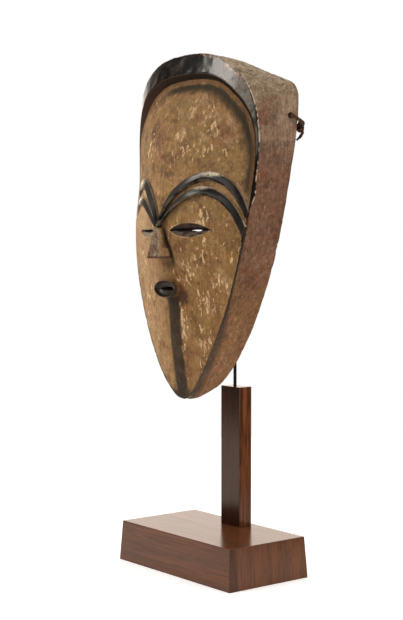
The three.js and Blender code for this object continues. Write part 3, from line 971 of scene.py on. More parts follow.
# %% Carve the brows
# Middle line of each brow, from the nose outwards: across, height, half width. No two are
# alike, and those on the left run a little nearer the nose.
BROWS = {
    "upper_brow_right": (1, [
        (-1.2, 369.5, 0.9), (1.2, 377.6, 1.8), (6.2, 384.7, 2.7), (10.4, 391.2, 3.3),
        (15.0, 397.3, 3.9), (20.4, 402.7, 4.3), (27.0, 407.6, 4.6), (36.8, 413.2, 4.7),
        (46.9, 417.1, 4.8), (57.8, 418.8, 4.8), (68.6, 415.6, 4.4), (79.5, 407.8, 3.9),
        (87.4, 396.8, 3.3), (90.8, 390.1, 2.9), (93.6, 384.0, 2.5), (96.8, 375.5, 1.8),
    ]),
    "lower_brow_right": (1, [
        (-0.4, 366.5, 1.2), (3.8, 373.3, 2.0), (10.6, 380.6, 2.3), (17.8, 387.6, 2.8),
        (23.9, 392.4, 3.3), (32.3, 397.7, 3.9), (39.0, 401.0, 4.3), (49.7, 404.0, 4.6),
        (60.6, 402.4, 4.5), (73.0, 395.2, 4.2), (82.2, 385.2, 3.8), (89.3, 372.6, 3.4),
        (93.5, 361.5, 3.1), (96, 352, 2.2),
    ]),
    "upper_brow_left": (-1, [
        (1.2, 369.5, 0.9), (4.4, 375.6, 1.8), (7.4, 381.6, 2.6), (12.2, 390.2, 3.7),
        (20.4, 400.2, 4.5), (29.8, 408.8, 4.9), (41.0, 414.6, 5.0), (53.5, 413.4, 4.8),
        (66, 406.5, 4.4), (77, 397, 3.6), (87, 385, 2.4),
    ]),
    "lower_brow_left": (-1, [
        (0.5, 366.5, 1.2), (6.3, 370.6, 1.9), (13.8, 376.8, 2.8), (22.8, 385.0, 3.4),
        (32.0, 391.5, 3.9), (41.5, 395.3, 4.3), (54.0, 396.6, 4.4), (66, 392.2, 4.0),
        (77, 383.5, 3.4), (86, 373, 2.4),
    ]),
}
BROW_RELIEF = 4.2
BROW_STEPS = 110
BROW_CUTS = 9
KNIFE_TILT = 1.7
# Section of a brow from its lower to its upper side: across, and rise where it is negative.
BROW_SECTION = [
    (-1, 3), (-1, 0.4), (-1, -0.45), (-0.96, -0.76), (-0.82, -0.97), (-0.55, -1.04),
    (-0.25, -0.98), (0.1, -0.85), (0.45, -0.7), (0.75, -0.57), (0.92, -0.44), (1, -0.15),
    (1, 0.4), (1, 3),
]


def brow_line(stations):
    """Middle places, directions and half widths along a brow."""
    line = curve_through([(x, half, z) for x, z, half in stations], BROW_STEPS)
    middle = line * (1, 0, 1)
    return middle, unit(np.gradient(middle, axis=0)), line[:, 1]


def knife_tilt(share, seed):
    """Tilt of the flat that the knife left at this share of a brow."""
    cut = share * BROW_CUTS
    here, there = [KNIFE_TILT * noise.noise(Vector((k * 7.31, seed, 0.4)))
                   for k in (int(cut), int(cut) + 1)]
    return here + (there - here) * float(smoothstep(0.35, 0.6, cut - int(cut)))


def brow(name, stations, sign, seed):
    rings = []
    for step, (middle, ahead, half) in enumerate(zip(*brow_line(stations))):
        share = step / (BROW_STEPS - 1)
        # Every brow sinks towards its outer end, and those on the left die away there.
        relief = BROW_RELIEF * (1.3 - 0.25 * float(smoothstep(0, 0.25, share)) - 0.45 * share ** 3)
        if sign < 0:
            relief *= 1.02 - float(smoothstep(0.6, 0.95, share))
        ring = []
        for across, rise in BROW_SECTION:
            x = middle[0] - ahead[2] * across * half
            z = middle[2] + ahead[0] * across * half
            x = min(x, float(edge_width_at(z)) - 0.15)
            lift = rise
            if rise < 0:
                lift = relief * (rise + 0.13 * knife_tilt(share, seed) * across * rise)
            ring.append((sign * x, float(face_depth(x, z)) + lift, z))
        rings.append(ring)
    return sphere_through(name, rings)


for number, (name, (sign, stations)) in enumerate(BROWS.items()):
    combine(mask, brow(name, stations, sign, 1.7 + 2.6 * number), "UNION")
print("four brows joined")

# %% Carve the nose
NOSE_TOP_Z = 369.5
NOSE_BOTTOM_Z = 335
NOSE_TOP_HALF = 3.2
NOSE_BOTTOM_HALF = 11.2
NOSE_TOP_Y = -73.6
NOSE_BOTTOM_Y = -77.3
NOSE_SPREAD = 0.4
NOSE_ROOT_DEPTH = 12
NOSE_ROWS = 26


def nose_ring(share, z, shrink=0.0):
    half = NOSE_TOP_HALF + (NOSE_BOTTOM_HALF - NOSE_TOP_HALF) * share - shrink
    front = NOSE_TOP_Y + (NOSE_BOTTOM_Y - NOSE_TOP_Y) * share + shrink
    root = float(face_depth(0.0, z)) + NOSE_ROOT_DEPTH
    spread = half + NOSE_SPREAD
    right = [(0, front), (half * 0.45, front + 0.05), (half * 0.8, front + 0.15),
             (half * 0.95, front + 0.4), (half, front + 1.0), (half + 0.2, front + 3),
             (half + (spread - half) * 0.5, front + (root - front) * 0.5), (spread, root)]
    left = [(-x, y) for x, y in reversed(right[1:])]
    return [(x, y, z) for x, y in right + left]


nose_rings = [nose_ring(0, NOSE_TOP_Z, 2.0), nose_ring(0, NOSE_TOP_Z - 1.5, 0.7)]
for share in np.linspace(0.07, 1, NOSE_ROWS):
    z = NOSE_TOP_Z + (NOSE_BOTTOM_Z + 1.0 - NOSE_TOP_Z) * share
    nose_rings.append(nose_ring(share, z))
nose_rings += [nose_ring(1, NOSE_BOTTOM_Z + 0.3, 0.2), nose_ring(1, NOSE_BOTTOM_Z, 0.8)]
combine(mask, sphere_through("nose", nose_rings), "UNION")
print("nose joined")

# %% Carve the lips
MOUTH_Z = 303.5
MOUTH_X = 1
MOUTH_HALF_WIDTH = 18
MOUTH_HALF_HEIGHT = 9.4
MOUTH_RELIEF = 8.4
MOUTH_ROOT_DEPTH = 9
MOUTH_SIDES = 72
# Share of the lips' width, share of their height, and share of their rise from the face.
LIP_SECTION = [
    (1, 1, -MOUTH_ROOT_DEPTH / MOUTH_RELIEF), (1.01, 1.01, 0.3), (1, 1, 0.82),
    (0.985, 0.98, 0.95), (0.955, 0.95, 1.0), (0.92, 0.91, 0.98), (0.885, 0.86, 0.86),
    (0.84, 0.78, 0.68), (0.78, 0.62, 0.55), (0.7, 0.42, 0.46), (0.64, 0.26, 0.4),
]


def oval(half_width, half_height, depth):
    turn = np.linspace(0, 2 * math.pi, MOUTH_SIDES, endpoint=False)
    return np.stack([MOUTH_X + half_width * np.cos(turn), np.full(MOUTH_SIDES, float(depth)),
                     MOUTH_Z + half_height * np.sin(turn)], axis=1)


skin_at_mouth = float(face_depth(0.0, MOUTH_Z))
lip_rings = [oval(MOUTH_HALF_WIDTH * w, MOUTH_HALF_HEIGHT * h, skin_at_mouth - MOUTH_RELIEF * rise)
             for w, h, rise in LIP_SECTION]
lips = sphere_through("lips", lip_rings, ((MOUTH_X, skin_at_mouth + MOUTH_ROOT_DEPTH, MOUTH_Z),
                                          (MOUTH_X, lip_rings[-1][0][1], MOUTH_Z)))
combine(mask, lips, "UNION")
print("lips joined")

# %% [markdown]
# Eyes, mouth slit, tie hole and old damage
#
# The eyes are almond sockets whose floor slopes in to a narrow slit. A socket could be pushed
# into the skin, but the slit needs a real opening, since the white backdrop shows through part
# of it, so both are cut. The opening widens towards the hollow, as a carver thins the wall from
# behind. A chip in the back edge is damage that the real mask carries, and it is cut too.

# %% Cut the eyes
# Middle and half length of each eye: left, right.
EYES = {-1: (34.5, 20.5), 1: (36.4, 24.4)}
# The upper half of the left eye is cut much lower than that of the right one.
UPPER_SHARE = {-1: 0.35, 1: 1.0}
EYE_Z = 364.4
EYE_HALF_HEIGHT = 7.2
EYE_SIDES = 72
EYE_SLIT_Z = 364.7
ALMOND_POWER = 2.2
EYE_GROOVE_SHIFT = -1.5
EYE_GROOVE_HALF_LENGTH = 18.8
EYE_GROOVE_HALF_HEIGHT = 1.1
EYE_GROOVE_DEPTHS = (2.5, 9.5)
# Share of the eye's length, share of its height, and depth.
SOCKET_SECTION = [(1, 1, -12), (1, 1, 0.1), (0.99, 0.9, 0.9), (0.97, 0.74, 1.7),
                  (0.94, 0.55, 2.7), (0.9, 0.36, 3.8), (0.85, 0.18, 5.0)]
# Layers of the opening: middle, height, half length, half height, depth under the cheek.
OPENING = [(44.4, 363.7, 3.7, 0.75, 3), (44.2, 363.7, 3.9, 0.75, 5), (26, 363.9, 19, 1.2, 22)]


def eye_tool(name, sign, layers):
    """A cutter from almond layers, each pointed at both ends."""
    turn = np.linspace(0, 2 * math.pi, EYE_SIDES, endpoint=False)
    across = np.cos(turn)
    up = np.sign(np.sin(turn)) * (1 - np.abs(across) ** ALMOND_POWER)
    up = np.where(up > 0, up * UPPER_SHARE[sign], up)
    rings = []
    for middle, middle_z, half_length, half_height, depth in layers:
        x = middle + half_length * across
        y = face_depth(x, np.full(len(x), float(middle_z))) + depth
        rings.append(np.stack([sign * x, y, middle_z + half_height * up], axis=1))
    return sphere_through(name, rings)


for side_name, sign in (("left", -1), ("right", 1)):
    eye_middle, eye_half = EYES[sign]
    socket = [(eye_middle, EYE_SLIT_Z + (EYE_Z - EYE_SLIT_Z) * high, eye_half * length,
               EYE_HALF_HEIGHT * high, depth) for length, high, depth in SOCKET_SECTION]
    groove = [(eye_middle + EYE_GROOVE_SHIFT, EYE_SLIT_Z, EYE_GROOVE_HALF_LENGTH,
               EYE_GROOVE_HALF_HEIGHT, depth) for depth in EYE_GROOVE_DEPTHS]
    for tool_name, layers in (("socket", socket), ("groove", groove), ("opening", OPENING)):
        combine(mask, eye_tool(f"{tool_name}_{side_name}", sign, layers), "DIFFERENCE")
print("eyes cut")

# %% Cut mouth, tie hole and chip
SLIT_HALF_WIDTH = 11.4
SLIT_HALF_HEIGHT = 2.3
SLIT_FROM_SKIN = (-12, 38)
TIE_HOLE_Z = 479.5
TIE_HOLE_Y = 13.7
TIE_HOLE_RADIUS = 3.1
TIE_HOLE_REACH = 20
HOLE_OUTSIDE_FACE_EDGE = 6
CHIP_PLACE = (94.6, 16.0, 341)
CHIP_SIZE = (5.2, 4.4, 5.4)
EYE_CORNER_X = 61.5
EYE_CORNER_SIZE = (2.0, 1.8, 1.9)


def lump(name, place, size, roughness, subdivisions):
    """A rough ball for breaking wood away."""
    piece = primitive(bpy.ops.mesh.primitive_ico_sphere_add, name, subdivisions=subdivisions,
                      radius=1)
    for vertex in piece.data.vertices:
        swell = 1 + roughness * noise.noise(vertex.co * 1.7 + Vector(place))
        vertex.co = Vector([(p + c * s * swell) * MM for p, c, s in zip(place, vertex.co, size)])
    return piece


slit_rings = [oval(SLIT_HALF_WIDTH, SLIT_HALF_HEIGHT, skin_at_mouth + depth)
              for depth in SLIT_FROM_SKIN]
combine(mask, sphere_through("mouth_slit", slit_rings), "DIFFERENCE")
wall_x = float(edge_width_at(TIE_HOLE_Z)) + HOLE_OUTSIDE_FACE_EDGE
hole_route = [(wall_x + step, TIE_HOLE_Y, TIE_HOLE_Z)
              for step in (-TIE_HOLE_REACH, 0, TIE_HOLE_REACH)]
combine(mask, bar("tie_hole", hole_route, TIE_HOLE_RADIUS, rounding=0), "DIFFERENCE")
combine(mask, lump("chip", CHIP_PLACE, CHIP_SIZE, 0.5, 4), "DIFFERENCE")
eye_corner = (EYE_CORNER_X, float(face_depth(EYE_CORNER_X, EYE_Z)) - 0.4, EYE_Z - 0.2)
combine(mask, lump("eye_corner", eye_corner, EYE_CORNER_SIZE, 0.3, 3), "DIFFERENCE")
print("mask now", len(mask.data.polygons), "faces")

# %% [markdown]
# Notes for the paint
#
# Paint and wear follow the carving: black lies on the hair and the brows, a dark olive in the
# groove, partly its own paint and partly painted shade, and knocks along the edges. A painted
# picture could place them, but it would hold for one view and a texture has no way to know the
# carving, so each vertex keeps a few notes as attributes: its zone, how far it is from an edge, how
# much it stands out, and how much paint has flaked.

# %% Read the finished mesh
mesh = mask.data
total = len(mesh.vertices)


def read(collection, name, width):
    values = np.empty(len(collection) * width)
    collection.foreach_get(name, values)
    return values.reshape(-1, width)


def note(name, values):
    layer = mesh.attributes.new(name, "FLOAT", "POINT")
    layer.data.foreach_set("value", np.asarray(values, float))


coords = read(mesh.vertices, "co", 3)
facing_out = read(mesh.vertex_normals, "vector", 3)
across_mm, _, height_mm = (coords / MM).T

# %% Note the zones of the skin
NEAREST = 3


def tree_of(places):
    tree = KDTree(len(places))
    for index, place in enumerate(places):
        tree.insert(place, index)
    tree.balance()
    return tree


skin_tree = tree_of((skin * MM).reshape(-1, 3))
nearest = np.zeros((total, NEAREST), int)
weights = np.zeros((total, NEAREST))
for index, place in enumerate(coords):
    for column, (_, found, distance) in enumerate(skin_tree.find_n(place, NEAREST)):
        nearest[index, column] = found
        weights[index, column] = 1 / (distance + 1e-6) ** 2
weights /= weights.sum(axis=1, keepdims=True)
zone = {}
for name, values in {"from_edge": from_edge, "from_lip": from_lip, **zones}.items():
    zone[name] = (values.ravel()[nearest] * weights).sum(axis=1)
    note(name, zone[name])
before_edge = (zone["wall"] + zone["rim"] + zone["inside"]) < 0.5
print("zones noted on", total, "vertices")

# %% Note rise and ridges
RAY_START = -0.2
RISE_LIMITS = (-14, 17)
rise = np.zeros(total)
for index in np.flatnonzero((zone["wall"] + zone["rim"] + zone["inside"]) <= 0.5):
    x, y, z = coords[index]
    hit = bare_skin.ray_cast(Vector((x, RAY_START, z)), Vector((0, 1, 0)))[0]
    if hit is not None:
        rise[index] = np.clip((hit.y - y) / MM, *RISE_LIMITS)

edges = read(mesh.edges, "vertices", 2).astype(int)
ridge = np.zeros(total)
count = np.zeros(total)
for here, there in (edges.T, edges.T[::-1]):
    gap = coords[here] - coords[there]
    size = np.maximum(np.linalg.norm(gap, axis=1), 1e-6)
    np.add.at(ridge, here, (gap * facing_out[here]).sum(axis=1) / size)
    np.add.at(count, here, 1)
note("ridge", ridge / np.maximum(count, 1))
print("rise up to", round(float(rise.max()), 1), "mm")

# %% Note nose, black paint and brow edges
NOSE_REACH = 14
SOCKETS_FROM_X = 8
SOCKETS_FROM_Z, SOCKETS_TO_Z = 350, 378
BROWS_FROM_Z = 345
LOWER_BROW_WEAR = 1.0
UPPER_BROW_WEAR = 0.6
in_nose = ((np.abs(across_mm) < NOSE_REACH) & (height_mm < NOSE_TOP_Z - 3.5)
           & (height_mm > NOSE_BOTTOM_Z - 2))
feature = smoothstep(0.25, 0.6, rise) * before_edge
note("nose", feature * in_nose)
note("nose_side", feature * in_nose * smoothstep(0.35, 0.7, facing_out[:, 0]))
cut_in = smoothstep(-0.3, -0.9, rise) * before_edge
in_socket = ((np.abs(across_mm) > SOCKETS_FROM_X) & (height_mm > SOCKETS_FROM_Z)
             & (height_mm < SOCKETS_TO_Z))
note("socket_depth", np.where(in_socket, -rise, 0))
black_parts = np.maximum(feature * ~in_nose, cut_in * ~in_socket)
black_parts = np.maximum(black_parts, smoothstep(0.4, 0.6, zone["hair"]))
from_mouth = np.hypot((across_mm - MOUTH_X) / MOUTH_HALF_WIDTH,
                      (height_mm - MOUTH_Z) / MOUTH_HALF_HEIGHT)
lip_side = smoothstep(0.92, 0.97, from_mouth) * (from_mouth < 1.3) * (rise < MOUTH_RELIEF - 1.6)
note("blackened", black_parts * (1 - lip_side))

brow_edge = np.zeros(total)
for name, (sign, stations) in BROWS.items():
    wear = LOWER_BROW_WEAR if name.startswith("lower") else UPPER_BROW_WEAR
    middle, ahead, half = brow_line(stations)
    line = tree_of(middle)
    on_side = (across_mm * sign > -4) & (feature > 0.5) & ~in_nose & (height_mm > BROWS_FROM_Z)
    for index in np.flatnonzero(on_side):
        x, z = sign * across_mm[index], height_mm[index]
        _, found, distance = line.find((x, 0, z))
        if distance < half[found] * 1.3:
            (mid_x, _, mid_z), (ahead_x, _, ahead_z) = middle[found], ahead[found]
            away = ((z - mid_z) * ahead_x - (x - mid_x) * ahead_z) / half[found]
            brow_edge[index] = max(brow_edge[index], wear * smoothstep(0.78, 0.98, away))
note("brow_edge", brow_edge)
print("black parts and brow edges noted")

# %% Note flaked and rubbed patches
# Patches where the pale ground shows through: across, height, half width, half height.
FLAKED_PATCHES = [
    (27, 489, 7, 15), (48, 484, 8, 16), (46, 446, 26, 10), (57, 466, 10, 12), (24, 458, 12, 14),
    (52, 343, 12, 20), (14, 266, 8, 26), (81, 254, 8, 26), (68, 308, 12, 16), (48, 292, 14, 14),
    (85, 326, 6, 18), (-53, 285, 8, 24), (-20, 348, 6, 12), (52, 378, 10, 8), (26, 371, 8, 6),
    (89, 399, 4, 8), (71, 236, 8, 12), (45, 224, 12, 12), (43, 252, 12, 16), (-34, 450, 12, 20),
    (-45, 400, 16, 20), (-60, 330, 14, 20), (30, 320, 10, 14), (17, 318, 5, 8),
]
# Patches on the brows where the black is worn pale, lightened further as painted sheen: the same,
# and how far.
RUBBED_AND_SHEEN_PATCHES = [(63, 421.5, 14, 3.4, 1), (51, 408.0, 13, 2.8, 0.8), (-52, 415, 13, 7, 0.9),
                  (-58, 398, 14, 6, 0.9)]


def patches(rows):
    """1 in the middle of each patch, falling off towards 0 round it."""
    depth = np.zeros(total)
    for x, z, half_width, half_height, *worn in rows:
        spread = ((across_mm - x) / half_width) ** 2 + ((height_mm - z) / half_height) ** 2
        depth = np.maximum(depth, (worn[0] if worn else 1) * np.exp(-spread))
    return depth


note("flaked", patches(FLAKED_PATCHES) * before_edge)
note("rubbed_and_sheen_patch", patches(RUBBED_AND_SHEEN_PATCHES) * feature)
smooth_by_angle(mask, 34)
print(len(FLAKED_PATCHES), "flaked and", len(RUBBED_AND_SHEEN_PATCHES), "rubbed patches noted")

# %% [markdown]
# The mask's finish
#
# The face carries a thin ochre earth paint, flecked pale where it has flaked upright along the
# grain, with brown blotches and a dark stripe down the chin. Hair, brows and the mouth's rim and
# funnel are blackened and rubbed. The side wall is bare brown wood. One painted picture would tie
# this to a single view, so the coats are laid by rules: by height, by the notes on the mesh, and
# by noise at the scale of the real patches.

# %% Mix the patterns
paint = Finish("carved_and_painted_wood")
fade, within, both, either = paint.fade, paint.within, paint.both, paint.either
mix_in, coats, subtract = paint.mix_in, paint.coats, lambda a, b: paint.math("SUBTRACT", a, b)
x_axis, y_axis, z_axis = paint.axes
broad = paint.noise(26, detail=3)
patchy = paint.noise(72, detail=4, rough=0.6)
fine = paint.noise(240, detail=4, rough=0.65)
specks = paint.noise(760, detail=3)
upright = paint.noise((420, 420, 62), detail=4, rough=0.6)
noted = {name: paint.attribute(name) for name in mesh.attributes.keys()
         if mesh.attributes[name].domain == "POINT" and name != "position"}
to_edge, to_lip = noted["from_edge"], noted["from_lip"]
print("notes for the paint:", *noted)

# %% Lay the ochre
OCHRE = (0.300, 0.165, 0.067)
OCHRE_OLIVE = (0.226, 0.135, 0.051)
OCHRE_RED = (0.232, 0.110, 0.052)
OCHRE_BROWN = (0.135, 0.070, 0.034)
OCHRE_PALE = (0.400, 0.250, 0.125)
OCHRE_LIT = (0.430, 0.272, 0.145)
LOW_BROWN = (0.125, 0.045, 0.0)
PALE_FLECK = (0.700, 0.480, 0.270)
PURPLE_BROWN = (0.112, 0.055, 0.034)

reddish = fade(paint.noise(33, detail=4, rough=0.6, twist=0.5), 0.5, 0.64, end=0.8)
pale = fade(paint.noise(58, detail=5, rough=0.65), 0.53, 0.66, end=0.62)
lit_side = both(fade(x_axis, 0.005, -0.055), fade(z_axis, 0.44, 0.37))
blotches = both(fade(paint.noise(44, detail=3, twist=0.6), 0.58, 0.68, end=0.75),
                fade(fine, 0.38, 0.56))
flaking = paint.noise((270, 270, 120), detail=5, rough=0.64, twist=0.5)
flaking = mix_in(mix_in(flaking, noted["flaked"], 0.12), patchy, 0.14)
flecks = fade(flaking, 0.705, 0.735, end=0.95)
face = coats(
    OCHRE, (fade(broad, 0.38, 0.62), OCHRE_OLIVE), (reddish, OCHRE_RED),
    (fade(patchy, 0.5, 0.66, end=0.85), OCHRE_BROWN), (pale, OCHRE_PALE), (lit_side, OCHRE_LIT),
    (blotches, PURPLE_BROWN), (fade(z_axis, 0.405, 0.345), LOW_BROWN, 0.32),
    (flecks, coats(PALE_FLECK, (fade(specks, 0.4, 0.6), OCHRE_PALE))),
    (fade(specks, 0.58, 0.70, end=0.5), OCHRE_BROWN))
print("ochre laid")

# %% Lay stripe, groove and hairline
STRIPE = (0.030, 0.018, 0.009)
STRIPE_WORN = (0.052, 0.031, 0.016)
LIP_SHADE = (0.045, 0.019, 0.009)
GROOVE_OLIVE_AND_SHADE = (0.040, 0.027, 0.014)
LIP_BROWN = (0.122, 0.056, 0.022)
# The cove is near-black: its dark brown paint, darkened further as painted shade under the hair
# band.
COVE_BLACK_AND_SHADE = (0.018, 0.009, 0.004)
COVE_BROWN = (0.026, 0.0095, 0.0035)

ragged_x = mix_in(mix_in(x_axis, patchy, 0.005), fine, 0.003)
stripe = both(within(ragged_x, -0.0075, -0.0015, 0.0125, 0.0165), fade(z_axis, 0.302, 0.294))
stripe = either(stripe, fade(mix_in(z_axis, fine, 0.01), 0.208, 0.196))
# Painted shadow at the lower right of the lips.
shadow_beside_lips = both(within(x_axis, 0.0, 0.006, 0.021, 0.027),
                   within(z_axis, 0.285, 0.293, 0.299, 0.307))
# The groove along the forehead's edge is darker olive, darkest a few millimetres in: its own paint,
# deepened as painted shade of the recess.
soft_lip = mix_in(to_lip, patchy, 6.0)
groove_start = fade(z_axis, 0.425, 0.480, start=0.5, end=4.5)
groove_end = fade(z_axis, 0.425, 0.480, start=15.0, end=23.0)
in_groove = both(fade(subtract(soft_lip, groove_start), 0.0, 5.0),
                 fade(paint.math("DIVIDE", soft_lip, groove_end), 1.0, 0.5),
                 fade(z_axis, 0.388, 0.410), fade(x_axis, -0.055, -0.015))
on_lip = both(within(to_lip, -0.5, 0.5, 2.5, 5.0), fade(z_axis, 0.385, 0.405))
face = coats(
    face, (stripe, coats(STRIPE, (fade(patchy, 0.4, 0.65), STRIPE_WORN))),
    (shadow_beside_lips, LIP_SHADE, 0.8), (in_groove, GROOVE_OLIVE_AND_SHADE), (on_lip, LIP_BROWN, 0.8),
    (fade(noted["cove"], 0.3, 0.7), coats(COVE_BLACK_AND_SHADE, (fade(x_axis, 0.0, -0.06), COVE_BROWN))))
print("stripe, groove and cove laid")

# %% Shade around nose and eyes
NOSE_SHADE = (0.016, 0.008, 0.003)
UNDER_NOSE_SHADOW = (0.070, 0.048, 0.020)
LID_LINE = (0.42, 0.29, 0.17)
RIGHT_EYE = [(0.115, 0.082, 0.058), (0.052, 0.033, 0.024), (0.018, 0.011, 0.007)]
LEFT_EYE = [(0.230, 0.195, 0.145), (0.36, 0.31, 0.24), (0.11, 0.085, 0.055)]
SLIT_BLACK = (0.006, 0.004, 0.003)

nose_half = fade(z_axis, 0.3695, 0.335, start=0.0030, end=0.0116)
# Painted shadow beside the right side of the nose, and under the nose.
nose_foot = both(within(subtract(x_axis, nose_half), -0.002, 0.0, 0.0022, 0.0052),
                 within(z_axis, 0.325, 0.334, 0.362, 0.371))
shadow_under_nose = both(within(x_axis, 0.000, 0.004, 0.012, 0.017),
                  within(z_axis, 0.319, 0.326, 0.334, 0.338))
on_left = fade(x_axis, 0.001, -0.001)
middle_x, half_x = [paint.level(on_left, EYES[1][k] * MM, EYES[-1][k] * MM) for k in (0, 1)]
eye_x = paint.math("DIVIDE", subtract(paint.math("ABSOLUTE", x_axis), middle_x), half_x)
lid_arch = subtract(1.0, paint.math("POWER", paint.math("ABSOLUTE", eye_x), ALMOND_POWER))
low_lid = both(on_left, fade(z_axis, 0.3643, 0.3645))
lid_height = paint.level(low_lid, EYE_HALF_HEIGHT * MM, EYE_HALF_HEIGHT * UPPER_SHARE[-1] * MM)
from_middle = paint.math("ABSOLUTE", subtract(z_axis, EYE_Z * MM))
from_lid = paint.math("DIVIDE", subtract(from_middle, both(lid_arch, lid_height)), MM)
before_face = fade(y_axis, -0.030, -0.036)
lid_line = both(within(from_lid, -0.3, 0.0, 0.9, 1.5), fade(patchy, 0.35, 0.55), before_face)
level_streaks = paint.noise((150, 150, 700), detail=3, rough=0.6)
# In the right eye the upper half is painted darker, as painted shade, and the lower half lighter,
# as painted light. Deepest in each socket the near-black is painted shade.
upper_half = fade(z_axis, 0.3640, 0.3654)
right_eye = coats(RIGHT_EYE[0], (upper_half, RIGHT_EYE[1]),
                  (fade(level_streaks, 0.45, 0.6), RIGHT_EYE[2]))
left_eye = coats(LEFT_EYE[0], (upper_half, LEFT_EYE[1]),
                 (fade(level_streaks, 0.5, 0.65, end=0.6), LEFT_EYE[2]))
eye = coats(right_eye, (on_left, left_eye), (fade(noted["socket_depth"], 3.2, 4.8), SLIT_BLACK))
face = coats(face, (nose_foot, NOSE_SHADE, 0.95), (shadow_under_nose, UNDER_NOSE_SHADOW, 0.55),
             (lid_line, LID_LINE, 0.55), (both(fade(from_lid, 0.0, -0.4), before_face), eye))
print("nose and eyes shaded")

# %% Paint the nose
NOSE_BROWN = (0.185, 0.125, 0.080)
NOSE_DARK = (0.085, 0.046, 0.030)
NOSE_PALE = (0.29, 0.215, 0.15)
NOSE_SIDE = (0.460, 0.275, 0.130)
NOSE_SIDE_DARK = (0.335, 0.188, 0.084)
NOSE_RIDGE = (0.33, 0.26, 0.19)
NOSE_UNDERSIDE = (0.060, 0.018, 0.011)
NOSE_STAIN = (0.075, 0.027, 0.018)

# The nose's right side is painted lighter than its front: its own ochre, lightened as painted
# light.
nose_side = coats(NOSE_SIDE, (fade(upright, 0.4, 0.6), NOSE_SIDE_DARK))
nose_stain = both(fade(mix_in(z_axis, upright, 0.012), 0.356, 0.346),
                  fade(x_axis, 0.002, -0.003), fade(upright, 0.36, 0.5))
# Its underside is dark: a dark red line along the edge, deepened as painted shade under the nose.
nose_paint = coats(
    NOSE_BROWN, (fade(upright, 0.42, 0.6), NOSE_DARK), (fade(fine, 0.5, 0.66, end=0.7), NOSE_PALE),
    (noted["nose_side"], nose_side),
    (both(fade(noted["ridge"], 0.08, 0.2), fade(fine, 0.4, 0.55)), NOSE_RIDGE),
    (fade(z_axis, 0.3382, 0.3368, end=0.8), NOSE_UNDERSIDE), (nose_stain, NOSE_STAIN, 0.7))
print("nose painted")

# %% Blacken hair, brows and mouth
SOOT = (0.0058, 0.0050, 0.0044)
SOOT_BROWN = (0.018, 0.0105, 0.0065)
SOOT_GREY = (0.034, 0.029, 0.024)
LIP_SOOT = (0.026, 0.017, 0.009)
WORN_HAIR_AND_SHEEN = (0.158, 0.131, 0.108)
RUBBED_BROWN = (0.20, 0.145, 0.095)
BROW_EDGE = (0.42, 0.30, 0.18)
BROW_CREAM_AND_SHEEN = (0.600, 0.500, 0.370)

on_hair = fade(z_axis, 0.435, 0.445)
# Right of the crown the black is worn grey, made lighter still as painted sheen.
worn_hair_and_sheen = both(on_hair, fade(x_axis, 0.030, 0.062), fade(patchy, 0.25, 0.5))
rubbed = both(fade(noted["ridge"], 0.06, 0.2), fade(patchy, 0.42, 0.58))
brow_wear = both(noted["brow_edge"], fade(patchy, 0.25, 0.45))
# Worn pale patches on the brows, with painted sheen laid over them.
patch_wear_and_sheen = both(noted["rubbed_and_sheen_patch"], fade(fine, 0.25, 0.55))
black = coats(
    SOOT, (fade(patchy, 0.43, 0.62), SOOT_BROWN), (fade(patchy, 0.38, 0.26, end=0.28), SOOT_GREY),
    (fade(z_axis, 0.325, 0.315, end=0.7), LIP_SOOT), (worn_hair_and_sheen, WORN_HAIR_AND_SHEEN, 0.85),
    (rubbed, RUBBED_BROWN, 0.5), (brow_wear, BROW_EDGE, 0.95),
    (fade(patch_wear_and_sheen, 0.1, 0.85), BROW_CREAM_AND_SHEEN))
face = coats(face, (noted["nose"], nose_paint), (noted["blackened"], black))
print("black laid")

# %% Leave side, rim and hollow bare
WALL_TAN = (0.400, 0.305, 0.200)
WALL_GREY = (0.356, 0.238, 0.156)
WALL_BROWN = (0.204, 0.102, 0.061)
WALL_ORANGE = (0.244, 0.118, 0.050)
WALL_RED = (0.207, 0.080, 0.042)
WALL_DARK = (0.075, 0.040, 0.025)
WALL_LOW_EDGE_DARK = (0.058, 0.038, 0.026)
HOLLOW_WOOD = (0.135, 0.078, 0.045)

grain = paint.noise((520, 520, 20), detail=5, rough=0.65)
ragged_z = mix_in(z_axis, patchy, 0.03)
crown_side = fade(ragged_z, 0.500, 0.535)
hammered = both(fade(paint.cells((85, 70, 85), 90, 0.012), 0.16, 0.03), fade(fine, 0.4, 0.6),
                fade(z_axis, 0.480, 0.520))
# The side is darker in a soft band behind the lower outer edge.
soft_behind = mix_in(paint.math("MULTIPLY", to_edge, -1.0), fine, 1.5)
band_width = fade(z_axis, 0.310, 0.235, start=2.5, end=14.0)
low_band = both(fade(paint.math("DIVIDE", soft_behind, band_width), 1.1, 0.35),
                fade(z_axis, 0.385, 0.330))
side = coats(
    WALL_BROWN, (fade(ragged_z, 0.435, 0.500), WALL_GREY), (crown_side, WALL_TAN),
    (fade(mix_in(z_axis, broad, 0.06), 0.385, 0.295), WALL_ORANGE),
    (reddish, coats(WALL_RED, (crown_side, WALL_GREY))),
    (fade(patchy, 0.50, 0.70, end=0.55), WALL_DARK), (fade(grain, 0.50, 0.70, end=0.55), WALL_DARK),
    (both(fade(fine, 0.54, 0.7, end=0.5), fade(broad, 0.4, 0.6)), WALL_GREY),
    (hammered, WALL_DARK, 0.7), (low_band, WALL_LOW_EDGE_DARK, 0.8))
inside = coats(HOLLOW_WOOD, (fade(broad, 0.4, 0.65), WALL_DARK),
               (fade(grain, 0.5, 0.7, end=0.5), WALL_DARK))
wood = coats(face, (fade(noted["wall"], 0.4, 0.6), side),
             (fade(either(noted["rim"], noted["inside"]), 0.4, 0.6), inside))
print("bare wood left")

